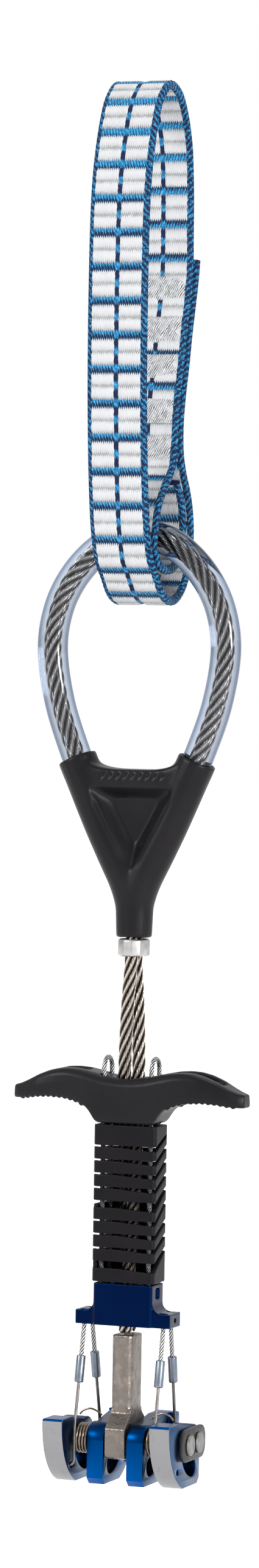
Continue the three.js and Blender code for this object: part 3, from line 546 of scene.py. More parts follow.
def moulded_copy(name, node, finish, grain, passes, kept=1.0):
    """A moulded piece made from a CAD node's mesh."""
    return moulded(add_piece(name, cad_copy(name, node), finish, [node]), grain, passes, kept)


# Materials


class Value:
    """A number that varies over a surface: arithmetic on it adds Math nodes to its tree.

    OPERATIONS gives it the Python operators and three methods: greatest of two numbers, floor,
    and fract, which is what the floor leaves.
    """

    def __init__(self, tree, socket):
        self.tree, self.socket = tree, socket

    def __rsub__(self, other):
        return self.tree.math("SUBTRACT", other, self)

    def zigzag(self):
        """Distance to the nearest whole number."""
        return self.tree.math("PINGPONG", self, 0.5)

    def wave(self):
        """The sine of this many whole turns."""
        return self.tree.math("SINE", self * TURN)

    def step(self, low, high):
        """A smooth rise from 0 to 1 between two values."""
        made = self.tree.node("ShaderNodeMapRange", interpolation_type="SMOOTHSTEP")
        for socket, given in zip(made.inputs, (self, low, high)):
            self.tree.put(socket, given)
        return Value(self.tree, made.outputs[0])


def operation_of(kind):
    """A method that adds a Math node of the kind given."""
    return lambda value, *others: value.tree.math(kind, value, *others)


OPERATIONS = {
    "__add__": "ADD", "__sub__": "SUBTRACT", "__mul__": "MULTIPLY", "__truediv__": "DIVIDE",
    "__pow__": "POWER", "__abs__": "ABSOLUTE", "__lt__": "LESS_THAN", "__gt__": "GREATER_THAN",
    "greatest": "MAXIMUM", "floor": "FLOOR", "fract": "FRACT",
}
for method, kind in OPERATIONS.items():
    setattr(Value, method, operation_of(kind))


class Tree:
    """Adds nodes to a material's or a world's node tree."""

    def __init__(self, owner):
        owner.use_nodes = True
        self.nodes, self.links = owner.node_tree.nodes, owner.node_tree.links

    def put(self, socket, value):
        """Links a socket, or sets its own value."""
        value = value.socket if isinstance(value, Value) else value
        if isinstance(value, bpy.types.NodeSocket):
            self.links.new(value, socket)
        elif hasattr(value, "__len__") and len(socket.default_value) > len(value):
            socket.default_value = (*value, 1.0)
        else:
            socket.default_value = value

    def node(self, kind, **settings):
        """A new node with some of its own settings."""
        made = self.nodes.new(kind)
        for key, value in settings.items():
            setattr(made, key, value)
        return made

    def math(self, operation, *values, clamp=False):
        """The result of a Math node."""
        made = self.node("ShaderNodeMath", operation=operation, use_clamp=clamp)
        for socket, value in zip(made.inputs, values):
            self.put(socket, value)
        return Value(self, made.outputs[0])

    def parts(self, vector):
        """The numbers that a vector is made of."""
        split = self.node("ShaderNodeSeparateXYZ")
        self.put(split.inputs[0], vector)
        return [Value(self, output) for output in split.outputs]

    def seen(self):
        """1 for what the camera sees straight, in a reflection or through something clear, else 0."""
        rays = self.node("ShaderNodeLightPath").outputs
        seen = Value(self, rays["Is Camera Ray"])
        for kind in ("Is Glossy Ray", "Is Transmission Ray"):
            seen = seen.greatest(rays[kind])
        return seen


# Places of a Mix node's factor and two colours among its inputs, and of its colour among its outputs
MIX_INPUTS, MIX_OUTPUT = (0, 6, 7), 2


class Finish(Tree):
    """Builds one material's nodes round its Principled shader."""

    def __init__(self, name, base, roughness, metallic=0.0, specular=0.5):
        self.material = bpy.data.materials.new(name)
        super().__init__(self.material)
        self.shader = self.nodes["Principled BSDF"]
        self.set("Base Color", base)
        self.set("Roughness", roughness)
        self.set("Metallic", metallic)
        self.set("Specular IOR Level", specular)

    def set(self, socket, value):
        """Gives one of the shader's sockets a value, a colour or another node's output."""
        self.put(self.shader.inputs[socket], value)

    def mix(self, share, first, second):
        """The first colour where share is 0 and the second where it is 1."""
        made = self.node("ShaderNodeMix", data_type="RGBA")
        for index, given in zip(MIX_INPUTS, (share, first, second)):
            self.put(made.inputs[index], given)
        return made.outputs[MIX_OUTPUT]

    def object_place(self, stretch=(1, 1, 1)):
        """The piece's own coordinates, stretched."""
        mapping = self.node("ShaderNodeMapping")
        self.put(mapping.inputs["Scale"], stretch)
        self.put(mapping.inputs["Vector"], self.node("ShaderNodeTexCoord").outputs["Object"])
        return mapping.outputs[0]

    def surface_place(self):
        """The two coordinates that follow the surface."""
        return self.parts(self.node("ShaderNodeUVMap", uv_map="UVMap").outputs[0])[:2]

    def noise(self, scale, detail=2, stretch=(1, 1, 1)):
        """A soft random value round one half."""
        made = self.node("ShaderNodeTexNoise")
        for name, given in (("Scale", scale), ("Detail", detail), ("Vector", self.object_place(stretch))):
            self.put(made.inputs[name], given)
        return Value(self, made.outputs["Fac"])

    def edge_highlight_and_wear(self, base, edge, share=0.6):
        """The base colour, going over to the edge colour on sharp outside corners: a painted highlight, and
        on bare metal also rubbed wear.
        """
        corner = Value(self, self.node("ShaderNodeNewGeometry").outputs["Pointiness"]).step(0.52, 0.6)
        self.set("Base Color", self.mix(corner * share, base, edge))

    def raise_by(self, height, distance, strength=1.0):
        """Adds relief by bump."""
        bump = self.node("ShaderNodeBump")
        for name, given in (("Height", height), ("Distance", distance), ("Strength", strength)):
            self.put(bump.inputs[name], given)
        self.set("Normal", bump.outputs[0])


def times(tint, factor):
    """The colour made brighter or darker."""
    return [min(1.0, factor * c) for c in tint]


# Sizes of the weave's yarns, in metres
TOOTH, TOOTH_REACH, TOOTH_JITTER = 0.00042, 0.0011, 0.0016
YARN_WIDTH, YARN_STROKE = 0.0005, 0.00135
BAR_ACROSS, BAR_ALONG = 0.00062, 0.0019
THREAD = 0.00026
# Heights in the frame between which a painted sheen turns the bars bright
BAR_SHEEN_HEIGHTS = (-0.03, -0.006)
# Shares of the half width at which the centre line ends and a selvedge begins
CENTRE_LINE, SELVEDGE = 0.074, 0.82


def webbing_finish(settings, phase):
    """Woven webbing: white satin cells in a grid of two blue yarns, blue selvedges and centre line, with
    painted shade on the cells and a painted sheen on the bars.
    """
    made = Finish("webbing_weave", settings.white, 0.6, specular=0.2)
    along, across = made.surface_place()
    away = abs(across / (settings.width / 2))
    jitter = made.noise(1500, 1) - 0.5
    # a cell's ends are toothed: each warp end stops a little before or after its neighbour
    reach = ((across / TOOTH).zigzag() - 0.25) * (jitter * TOOTH_JITTER + TOOTH_REACH)
    turn = ((along + reach) / settings.pitch + phase).fract()
    bar = turn < settings.bar
    # columns of slanted yarn, each nearly half a stroke off its neighbour, patchy in brightness
    column = across / YARN_WIDTH
    stroke = along / YARN_STROKE + (column.floor() * 0.43 + column.fract() * 0.55)
    patch = made.noise(2600, 1).step(0.4, 0.6) * 0.75 + 0.25
    braid = abs((stroke + jitter * 1.1).fract() - 0.5).step(0.2, 0.34) * patch
    # a bar is slanted strokes, bright sky yarn over navy whose bright share is partly a painted sheen, and
    # near the sling's top the whole bar is painted bright as light
    # painted light: the bars' bright share grows with height towards the sling's top
    upper = made.parts(made.object_place())[2].step(*BAR_SHEEN_HEIGHTS)
    split = (0.6 - upper * 0.46) * settings.bar
    slant = (across / BAR_ACROSS + along / BAR_ALONG).wave()
    sky_and_sheen_half = (turn + (slant * 0.025 + jitter * 0.09)) > split
    half_blue = [0.25 * (a + b) for a, b in zip(settings.navy, settings.sky)]
    strokes = made.mix(slant.step(-0.7, 0.2) * patch, half_blue, settings.sky)
    dim = made.mix(slant.step(0.5, 0.9), settings.navy, half_blue)
    bar_colour = made.mix(sky_and_sheen_half, dim, strokes)
    # the centre line is bright at the bars and half way between them
    pulse = ((turn - 0.02) * 2).wave().step(0.0, 0.4)
    centre_colour = made.mix(pulse * (braid * 0.65 + 0.35), settings.navy, settings.sky)
    edge_colour = made.mix(braid, settings.navy, times(settings.sky, 0.72))
    # white cells: two soft humps of lengthwise threads, with painted shade where they dip, on each hump's
    # lower side and between the threads
    thread = (across / THREAD).wave()
    cell = (turn - settings.bar) / (1 - settings.bar)
    dip_shade = (1.0 - abs(cell.wave())) ** 2.2 * (jitter * 1.4 + 0.55)
    lower_side_shade = (1.0 - (cell * 2.0).fract()) ** 2.5 * (made.noise(420) * 0.6 + 0.12)
    shade = made.math("ADD", dip_shade + lower_side_shade, (thread + 1.0) * 0.07, clamp=True)
    white_colour = made.mix(shade, settings.white, times(settings.white, 0.3))
    ragged = away + jitter * 0.05
    lined = made.mix(ragged < CENTRE_LINE, made.mix(bar, white_colour, bar_colour), centre_colour)
    made.set("Base Color", made.mix(ragged > SELVEDGE, lined, edge_colour))
    relief = thread * 0.6 * (1.0 - bar) + slant * bar
    made.raise_by(relief + braid * away.step(0.8, 0.85), 0.00008)
    return made.material


# Width and length of a tacking stitch, and how far it wanders, in metres
STITCH_WIDTH, STITCH_LENGTH, STITCH_WANDER = 0.00046, 0.00095, 0.0016


def tack_finish(settings):
    """Tacking thread: fine slanted zigzag stitches with painted shade in the gaps between them."""
    made = Finish("tack_thread", settings.tack, 0.5, specular=0.25)
    along, across = made.surface_place()
    wander = made.noise(700) * STITCH_WANDER
    stitch = (across / STITCH_WIDTH + (along + wander) / STITCH_LENGTH).wave()
    patchy = made.noise(900).step(0.35, 0.65) * 0.65 + 0.35
    # painted shade: the gaps between stitches go nearly black
    made.set("Base Color", made.mix(stitch.step(0.2, -0.8) * patchy, settings.tack, (0.05, 0.045, 0.045)))
    made.raise_by(stitch, 0.00014)
    return made.material


WIRES = 9
# Colours of the painted shade in the grooves of the main rope, of the trigger's cables and of the cables at
# the yoke
ROPE_GROOVE_SHADE, CABLE_GROOVE_SHADE, STUB_GROOVE_SHADE = (0.022, 0.017, 0.014), (0.04, 0.04, 0.045), (0.05, 0.045, 0.04)
# Heights over the head, in millimetres, between which the sleeve and the trigger hide the rope and painted
# shade darkens it
ROPE_SHADE_HEIGHTS = (24.5, 67.0)


def rope_finish(name, tint, strand_radius, dark):
    """Wire strands: fine wires wound the other way, with painted shade in the grooves between wires and
    strands and a painted highlight on each strand's crown.
    """
    made = Finish(name, tint, 0.3, 1.0)
    along, around_it = made.surface_place()
    wave = (around_it * WIRES - along / (strand_radius * 18 / WIRES)).wave()
    off_crown = (around_it - 0.25).zigzag()
    # painted shade fills the grooves between strands, and at half strength the grooves between wires
    strand_gap_shade = off_crown.step(0.07, 0.19)
    stain = made.noise(160, 3).step(0.4, 0.75)
    # painted highlight: each strand's crown is lit to 2.6 times the rope's colour
    crown = made.mix(off_crown.step(0.07, 0.02), tint, times(tint, 2.6))
    # painted shade darkens the wires inside the sleeve and the trigger
    height = made.parts(made.object_place())[2]
    low, high = (HEAD[2] + z * MM for z in ROPE_SHADE_HEIGHTS)
    sleeve_shade = height.step(low - MM, low) * height.step(high + MM, high)
    share = strand_gap_shade.greatest((wave.step(-0.35, -0.95) * 0.5).greatest(stain * 0.3)).greatest(sleeve_shade * 0.86)
    made.set("Base Color", made.mix(share, crown, dark))
    made.set("Roughness", stain * 0.2 + 0.24)
    made.raise_by(wave, strand_radius * 0.16)
    return made.material


def cable_finish(name, rope, dark):
    """The look of the thin cables, with a colour for the painted shade in their grooves."""
    return rope_finish(name, rope.cable, rope.cable_radius / 3, dark)


def tube_finish(settings):
    """Clear plastic with a faint blue tint, painted dark at the tube's sides as shade and dark reflections.
    """
    made = Finish("clear_tube", settings.tube, 0.06)
    weight = made.node("ShaderNodeLayerWeight")
    made.put(weight.inputs["Blend"], 0.35)
    facing = Value(made, weight.outputs["Facing"])
    # painted shade: where the wall is seen edge-on it takes the dark tint and lets less light through
    made.set("Base Color", made.mix(facing.step(0.06, 0.42), (0.5, 0.56, 0.66), settings.tube))
    made.set("Roughness", made.noise(60) * 0.05 + 0.03)
    made.set("Transmission Weight", 1.0 - facing.step(0.4, 0.62) * 0.75)
    made.set("IOR", 1.33)
    return made.material


# Size of each plastic's grain in metres, how much paler its edges are painted as a highlight, and its gloss
PLASTICS = {
    "thumb_rest_plastic": (0.0004, 2.2, 0.13),
    "trigger_plastic": (0.0003, 2.0, 0.13),
    "sleeve_plastic": (0.00035, 1.7, 0.08),
}


def plastic_finish(name, settings):
    """Moulded black plastic: a fine even grain, soft sheen and painted highlights on its edges."""
    grain_size, edge_highlight_gain, gloss = PLASTICS[name]
    made = Finish(name, settings.plastic, 0.48, specular=gloss)
    tone = made.noise(90, 3)
    base = made.mix(tone.step(0.35, 0.75), settings.plastic, times(settings.plastic, 1.5))
    made.edge_highlight_and_wear(base, times(settings.plastic, edge_highlight_gain))
    made.set("Roughness", tone * 0.2 + 0.28)
    made.raise_by(made.noise(1 / grain_size), 0.00004, 0.5)
    return made.material


def anodised_finish(name, tint, roughness, painted_side_share=0.0):
    """Anodised aluminium: a fine matt grain, with painted highlights at its edges and a painted duller
    reflection on its left and right sides.
    """
    made = Finish(name, tint, roughness, 1.0, 0.3)
    cloud = made.noise(140, 3)
    tone = made.mix(cloud, times(tint, 0.75), times(tint, 1.2))
    normal = made.parts(made.node("ShaderNodeTexCoord").outputs["Normal"])
    # painted reflection: faces turned to the left or right go over to a greyer, duller blue
    painted_side_colour = [0.9 * c + 0.03 + 0.028 * i for i, c in enumerate(tint)]
    sideways = abs(normal[0]).step(0.75, 0.95)
    made.edge_highlight_and_wear(made.mix(sideways * painted_side_share, tone, painted_side_colour), times(tint, 5.0), 0.8)
    made.set("Roughness", cloud * 0.14 + (roughness - 0.06))
    made.raise_by(made.noise(5200), 0.00001, 0.35)
    return made.material


def grip_finish(settings):
    """Bare machined aluminium: fine cutter lines across the cam, dulled and scratched by use."""
    made = Finish("bare_grip_face", settings.grip, 0.42, 0.75)
    lines = made.noise(1, 2, (60, 2600, 2600))
    marks = made.noise(700, 4).step(0.6, 0.72)
    tone = made.mix(lines, times(settings.grip, 0.93), times(settings.grip, 1.07))
    made.set("Base Color", made.mix(marks * 0.35, tone, times(settings.grip, 0.6)))
    made.set("Roughness", lines * 0.2 + 0.34)
    made.raise_by(lines * 0.4 - marks * 0.5, 0.00002, 0.5)
    return made.material


# Each metal's roughness, dents to a metre, their depth in metres, and how they are stretched
METALS = {
    "pressed_collar": (0.3, 500, 0.00004, (1, 1, 0.2)),
    "terminal_steel": (0.32, 760, 0.0004, (1, 1, 0.5)),
    "rivet_steel": (0.36, 700, 0.00004, (1, 1, 1)),
    "end_plate_steel": (0.42, 600, 0.00003, (1, 1, 1)),
    "spring_wire": (0.24, 300, 0.00001, (1, 1, 1)),
    "hooked_wire_steel": (0.38, 900, 0.00002, (1, 1, 0.1)),
    "ferrule_alloy": (0.34, 520, 0.00005, (1, 1, 0.3)),
}


def steel_finish(name, tint):
    """Bare metal: press marks or drawing lines, stained in its hollows and bright in patches."""
    roughness, dent_scale, dent_depth, streak = METALS[name]
    made = Finish(name, tint, roughness, 0.92)
    dents = made.noise(dent_scale, 3, streak)
    stain = made.noise(dent_scale * 0.35, 3).step(0.42, 0.7)
    bright = made.noise(dent_scale * 0.8, 4).step(0.42, 0.8)
    clean = times(tint, 2.0)
    ground = made.mix(stain * 0.5, tint, times(tint, 0.45))
    # edges go over to the clean colour: a painted highlight and rubbed wear
    made.edge_highlight_and_wear(made.mix(bright * 0.5, ground, clean), clean)
    made.set("Roughness", dents * 0.2 + (roughness - 0.08))
    made.raise_by(dents, dent_depth, 0.6)
    return made.material


# Strength of the floor's white where it is seen, and of the surround's light on the device
FLOOR_GLOW = 0.75
SURROUND_LIGHT = 0.36


def stage_finish():
    """A white floor: it takes the object's shadow, and shows white to the camera and in reflections."""
    made = Finish("pale_floor", (0.9, 0.9, 0.9), 0.9)
    made.set("Emission Color", (1, 1, 1))
    made.set("Emission Strength", made.seen() * FLOOR_GLOW)
    return made.material


# Sling

SLING_BOTTOM = 169.7
SLING_HEIGHT = 106.0
SLING_SPAN = 26.0
# The strip's route from the end of its tail, as shares of the span and the height
SLING_ROUTE = (
    (0.565, 0.667), (0.535, 0.627), (0.475, 0.573), (0.415, 0.52), (0.355, 0.456), (0.29, 0.398),
    (0.255, 0.34), (0.27, 0.292), (0.335, 0.255), (0.425, 0.222), (0.495, 0.182), (0.52, 0.142),
    (0.5, 0.098), (0.425, 0.052), (0.29, 0.022), (0.12, 0.009), (-0.08, 0.022), (-0.235, 0.058),
    (-0.34, 0.082), (-0.4, 0.112), (-0.45, 0.155), (-0.515, 0.27), (-0.56, 0.456), (-0.56, 0.69),
    (-0.535, 0.782), (-0.48, 0.85), (-0.385, 0.917), (-0.29, 0.957), (-0.09, 0.9895), (0.13, 0.975),
    (0.25, 0.94), (0.35, 0.883), (0.395, 0.804), (0.41, 0.7), (0.415, 0.66), (0.4, 0.62),
    (0.36, 0.573), (0.3, 0.52), (0.245, 0.456), (0.178, 0.398), (0.145, 0.34), (0.13, 0.3),
    (0.085, 0.262), (-0.06, 0.226), (-0.19, 0.19), (-0.25, 0.15), (-0.262, 0.11), (-0.19, 0.082),
    (-0.03, 0.069), (0.16, 0.074), (0.3, 0.104), (0.345, 0.15), (0.3, 0.2), (0.19, 0.236),
)
# Heights over the head of each bar tack's lower and upper end
TACKS = (
    (231.605, 237.037), (222.963, 228.519), (215.556, 220.741), (206.296, 211.852), (198.272, 204.198)
)
SLING_COLUMNS, TACK_COLUMNS = 26, 34
# In metres: steps of the selvedges' ripple, height of a tack and of its ridges, and the ridges' steps
RIPPLE_ALONG, RIPPLE_ACROSS = 0.00125, 0.0011
TACK_LIFT, TACK_RIDGE, TACK_ACROSS, TACK_ALONG = 0.00014, 0.00012, 0.00084, 0.0011


def sling_path():
    """The strip's middle line in the frame, from the end of its tail to the end of its inner loop."""
    depth, height = np.transpose(SLING_ROUTE)
    return placed(smooth_route(xyz(0, SLING_SPAN * depth, SLING_BOTTOM + SLING_HEIGHT * height), 0.36))


def bar_phase(path, settings):
    """Share of a pitch that puts a bar at the given height of the front run."""
    front = np.flatnonzero(path[:, 1] < HEAD[1] - 10 * MM)
    nearest = front[np.argmin(np.abs(path[front, 2] - HEAD[2] - settings.bar_height))]
    return -run_length(path)[nearest] / settings.pitch + settings.bar / 2


def weave_relief(along, across, phase, settings):
    """Height from 0 to 1 of the weave: two humps to a cell, low bars, full selvedges, a sunk centre line."""
    turn = (along / settings.pitch + phase) % 1.0
    cell = np.clip((turn - settings.bar) / (1 - settings.bar), 0, 1)
    hump = np.abs(np.sin(TURN * cell)) ** 0.6
    side = np.abs(across) / (settings.width / 2)
    inside = np.clip((side - 0.07) / 0.08, 0, 1) * np.clip((0.86 - side) / 0.06, 0, 1)
    edge = np.clip((side - 0.84) / 0.05, 0, 1)
    ripple = 0.5 + 0.5 * np.sin(along * TURN / RIPPLE_ALONG + across * TURN / RIPPLE_ACROSS)
    return inside * np.where(turn < settings.bar, 0.25, hump) + edge * (0.6 + 0.4 * ripple)


def strip(path, across, offset):
    """Points at distances across the strip, and at heights off its middle line."""
    along = unit(np.gradient(path, axis=0))
    normal = xyz(0, along[:, 2], -along[:, 1])
    return path[:, None] + across[..., None] * X_AXIS + offset[..., None] * normal[:, None]


def sling_surface(path, phase, settings):
    """The webbing: a closed section of flat faces and round selvedges, carried along the route."""
    half, thick = settings.width / 2, settings.thickness / 2
    share = np.sin(np.linspace(-QUARTER, QUARTER, SLING_COLUMNS))
    across = half * (0.35 * share + 0.65 * np.linspace(-1, 1, SLING_COLUMNS))
    rounding = np.sqrt(np.clip(1 - (np.clip(np.abs(across) - (half - thick), 0, None) / thick) ** 2, 0, 1))
    run = run_length(path)
    ring = np.concatenate([across, across[::-1][1:-1]])
    face = np.concatenate([rounding, -rounding[::-1][1:-1]])
    offset = face * (thick + settings.relief * (weave_relief(run[:, None], ring, phase, settings) - 0.5))
    points = strip(path, np.broadcast_to(ring, offset.shape), offset)
    return grid_surface(points, row_marks=run, column_marks=np.append(ring, ring[0]))


def tack_surface(path, settings):
    """Bar tacks: low pads of stitches over both outer faces of the doubled back run.

    A pad's height falls away at its edges as one less the eighth power of the distance, and a
    sine across and along it raises its stitches. Each pad is one grid, over and back under.
    """
    run = run_length(path)
    reach = settings.thickness / 2
    across = np.linspace(-1, 1, TACK_COLUMNS) * settings.width * 0.4
    marks = np.concatenate([across, across[::-1], across[:1]])
    places = np.arange(len(path))
    tail = places[: len(path) // 6]
    inner = places[(run > run[-1] * 0.55) & (path[:, 1] > HEAD[1] + 2 * MM)]
    made = []
    for stretch, face in ((tail, -1), (inner, 1)):
        for low, high in HEAD[2] + np.array(TACKS) * MM:
            inside = stretch[(path[stretch, 2] > low) & (path[stretch, 2] < high)]
            if len(inside) < 4:
                continue
            rows = run[inside]
            u, v = np.linspace(-1, 1, len(inside))[:, None], np.linspace(-1, 1, TACK_COLUMNS)
            stitch = across / TACK_ACROSS + rows[:, None] / TACK_ALONG
            ridge = 0.5 + 0.5 * np.sin(TURN * stitch)
            top = reach + (TACK_LIFT + TACK_RIDGE * ridge) * (1 - u**8) * (1 - v**8)
            base = np.full(top.shape, reach * 0.6)
            lift = np.concatenate([top, base], 1)
            wide = np.broadcast_to(np.concatenate([across, across[::-1]]), lift.shape)
            points = strip(path[inside], wide, face * lift)
            made.append(grid_surface(points, row_marks=rows, column_marks=marks))
    return together(made)


# Stem and thumb rest

REST_FOOT = 102.3
LEG_SPACING = 1.42
# Heights at which the legs' route is marked, and between which they make their quarter turns
LEG_MARKS = (21.8, 68.0, 97.0, 103.0, 111.0)
LEG_TURNS = ((68, 21.5), (68, 97), (103, 111))
# Distance across and height over the thumb rest's foot
PRONG_ROUTE = ((LEG_SPACING, 8.9), (3.9, 16.3), (6.75, 22.1), (9.85, 28.9), (13.1, 36.3))
LOOP_ROUTE = ((17.15, 47.8), (18.8, 59.1), (17.6, 66.5), (15.1, 71.9), (11.1, 76.8), (5.9, 80.5))
CROWN_RISE = 81.7
TUBE_INSIDE = 4.5
REST_FACE = 3.4
POCKET_TOP, POCKET_POINT, POCKET_HALF, POCKET_DEPTH = 28.6, 17.2, 6.2, 2.9
# Distance outside the triangle at which the pocket's slope starts, its width, and where it fades in
POCKET_CORNER, POCKET_START, POCKET_SLOPE, POCKET_FADE = 0.7, 2.3, 2.8, (-2.4, -1.7)
PRONG_RADIUS, PRONG_SQUASH = 3.9, 0.77
# Points nearer to the thumb rest's middle plane than this stay where they are
POCKET_SKIP = 0.6
NOTCHES, NOTCH_STEP, NOTCH_RADIUS, SADDLE = 9, 1.6, 0.36, 33.6


def stem_leg(side):
    """One leg of the stem: stacked front to back at both ends, side by side at the trigger."""
    stretches = zip(LEG_MARKS[:-1], LEG_MARKS[1:])
    heights = np.concatenate([np.linspace(a, b, 4, endpoint=False) for a, b in stretches])
    part = [np.clip((heights - a) / (b - a), 0, 1) for a, b in LEG_TURNS]
    twist = QUARTER * (part[1] + part[2] - part[0])
    reach = side * LEG_SPACING
    return xyz(reach * np.cos(twist), reach * np.sin(twist), heights)


def loop_points():
    """The thumb loop's route: up one side, over the crown and down the other side."""
    across, rise = np.transpose(PRONG_ROUTE + LOOP_ROUTE)
    half = xyz(across, 0, REST_FOOT + rise)
    return np.concatenate([half * [-1, 1, 1], [[0, 0, REST_FOOT + CROWN_RISE]], half[::-1]])


def rope_route():
    """The whole rope: up one leg, round the thumb loop and down the other leg."""
    return np.concatenate([stem_leg(1), loop_points(), stem_leg(-1)[::-1]])


def tube_route():
    """The stretch of the loop between the clear tube's ends, which lie inside the prongs."""
    route = smooth_route(loop_points(), 0.6)
    run = run_length(route)
    start = run_length(np.asarray(PRONG_ROUTE))[-1] - TUBE_INSIDE
    return route[(run > start) & (run < run[-1] - start)]


def rest_place(points):
    """Distance across, depth and height over the thumb rest's foot, in millimetres."""
    x, y, z = ((points - HEAD) / MM).T
    return x, y, z - REST_FOOT


def soft_step(value, low, high):
    """A smooth rise from 0 to 1 between two values."""
    share = np.clip((value - low) / (high - low), 0, 1)
    return share * share * (3 - 2 * share)


def rest_softness(points):
    """How far each point may relax: the web and the fork fully, the prongs' mouths and the foot not."""
    x, _, rise = rest_place(points)
    mouth = soft_step(rise, 30.5, 33) * soft_step(np.abs(x), 8.6, 10.2)
    return (1 - mouth) * soft_step(rise, 1.5, 6)


def recess(mesh):
    """Sinks a soft-edged pocket into both faces of the thumb rest.

    The depth follows the distance from a triangle that stands on its point, taken as the soft
    maximum of the distances from its three edges, which rounds its corners. It is measured from
    the flat face or from the prongs' round crests, whichever stands further out.
    """
    points = values_of(mesh.vertices, "co")
    x, y, rise = rest_place(points)
    height = POCKET_TOP - POCKET_POINT
    lean = height / math.hypot(height, POCKET_HALF)
    half = POCKET_HALF * (rise - POCKET_POINT) / height
    edges = np.stack([rise - POCKET_TOP, (x - half) * lean, (-x - half) * lean])
    away = POCKET_CORNER * np.log(np.exp(np.clip(edges / POCKET_CORNER, -40, 40)).sum(0))
    slope = np.clip((POCKET_START - away) / POCKET_SLOPE, 0, 1)
    depth = POCKET_DEPTH * (0.65 * slope + 0.35 * soft_step(slope, 0, 1))
    share = np.where(np.abs(y) > POCKET_SKIP, soft_step(-away, *POCKET_FADE), 0)
    prong = np.interp(rise, *np.transpose([(b, a) for a, b in PRONG_ROUTE]))
    crest = np.sqrt(np.clip(PRONG_RADIUS**2 - (np.abs(x) - prong) ** 2 * PRONG_SQUASH, 0, None))
    sunk = np.sign(y) * (np.maximum(REST_FACE, crest) - depth)
    points[:, 1] = HEAD[1] + (y + share * (sunk - y)) * MM
    mesh.vertices.foreach_set("co", points.ravel())
    mesh.update()


def notch(index, face):
    """Cutter for one slanted grip notch over the edge of the thumb rest's saddle."""
    route = np.array([[0.9, 2.0, 0.3], [0.5, 3.0, -0.2], [0, 3.5, -1.0], [-0.6, 3.7, -2.1]]) * [1, face, 1]
    route += [NOTCH_STEP * (index - NOTCHES // 2), 0, REST_FOOT + SADDLE]
    return tube(placed(smooth_route(route, 0.3)), NOTCH_RADIUS * MM, 8, X_AXIS, rounded=0.0004)


# Trigger, and outlines in the plan

TRIGGER_REACH = 25.0
# Distance out and height over the head, or half depth
TRIGGER_TOP = (
    (0, 73.75), (1.8, 73.8), (4.4, 74.1), (7.2, 74.75), (9.8, 75.25), (12.2, 75.42), (14.4, 75.3),
    (16.8, 74.75), (19.2, 73.8), (21.6, 72.55), (23.4, 71.75), (25.0, 71.3),
)
TRIGGER_BOTTOM = (
    (0, 64.5), (6.2, 64.5), (6.75, 65.1), (7.2, 66.0), (8.0, 67.1), (9.2, 68.1), (11, 68.95),
    (13.5, 69.45), (16.5, 69.6), (19.5, 69.4), (22.2, 68.95), (24.0, 68.65), (25.0, 68.7),
)
TRIGGER_DEPTH = (
    (0, 4.7), (7, 4.7), (12, 4.65), (16, 4.5), (19.5, 4.05), (22.2, 3.3), (24.0, 2.5), (25.0, 1.8),
)
BEVEL_HEIGHT, BEVEL_SHARE = 1.5, 0.17
NUB_START, NUB_END, NUB_STEP, NUB_RADIUS = 9.4, 24, 1.22, 0.55
CABLE_ACROSS, CABLE_DEPTH, CABLE_START, CABLE_BEND = 5.15, 2.2, 28.0, 75.5
# Heights between which the trigger is cut, and the sizes of its bore, cable holes and hollows
CUT_LOW, CUT_HOLLOW, CUT_HIGH = 60, 73, 80
TRIGGER_BORE, CABLE_HOLE, HOLLOW_ACROSS, HOLLOW = 3.2, 0.85, 14.8, (5.9, 1.7, 1.2)
COLLAR_BORE, COLLAR_EDGE, COLLAR_SIDES = (1.62, 3.05, 1.6), 0.45, 12


def along_wing(table, across):
    """A smooth value along a wing, from a table of distance out and size."""
    table = np.asarray(table, float)
    dense = np.linspace(0, table[-1, 0], 240)
    value = np.interp(dense, *table.T)
    window = np.hanning(17)
    padded = np.concatenate([value[16:0:-1], value, value[-2:-18:-1]])
    smooth = np.convolve(padded, window / window.sum(), "same")[16:-16]
    smooth = value + (smooth - value) * np.clip((table[-1, 0] - dense) / 1.5, 0, 1)
    return np.interp(np.abs(across), dense, smooth)


def trigger_surface():
    """The trigger's bar: at each distance across, a rounded box between its top and its underside.

    The section is a superellipse, so its corners are round; its upper corners are drawn in to a
    broad chamfer on the front and the back.
    """
    across = TRIGGER_REACH * np.sin(np.linspace(-QUARTER, QUARTER, 161))[:, None]
    top, bottom, depth = (along_wing(table, across) for table in (TRIGGER_TOP, TRIGGER_BOTTOM, TRIGGER_DEPTH))
    y, z = (np.sign(part) * np.abs(part) ** (2 / 9) for part in around(ring_angles(72)).T)
    height, rise = top - bottom, (z + 1) / 2
    bevel = 1 - BEVEL_SHARE * np.clip((rise * height - (height - BEVEL_HEIGHT)) / BEVEL_HEIGHT, 0, 1)
    return grid_surface(placed(xyz(across, depth * y * bevel, bottom + height * rise)))


def nubs():
    """Small round nubs under the trigger's wings, two rows to a wing."""
    angle, rise = ring_angles(10), np.linspace(-0.98, 0.98, 7)[:, None]
    ball = xyz(np.sqrt(1 - rise**2) * np.cos(angle), np.sqrt(1 - rise**2) * np.sin(angle), rise)
    out = np.arange(NUB_START, NUB_END, NUB_STEP)
    made = []
    for x in np.concatenate([out, -out]):
        depth, low = along_wing(TRIGGER_DEPTH, x) - 0.75, along_wing(TRIGGER_BOTTOM, x) + 0.12
        made += [grid_surface(placed(NUB_RADIUS * ball + [x, face * depth, low])) for face in FACES]
    return together(made)


def trigger_cable_route(side):
    """A cable's route: up from the yoke, over the side of the trigger and down again."""
    x, bend = side * CABLE_ACROSS, np.linspace(math.pi, 0, 16)
    front = xyz(x, -CABLE_DEPTH, np.linspace(CABLE_START, CABLE_BEND, 24)[:-1])
    over = xyz(x, CABLE_DEPTH * np.cos(bend), CABLE_BEND + CABLE_DEPTH * np.sin(bend))
    return np.concatenate([front, over, front[::-1] * [1, -1, 1]])


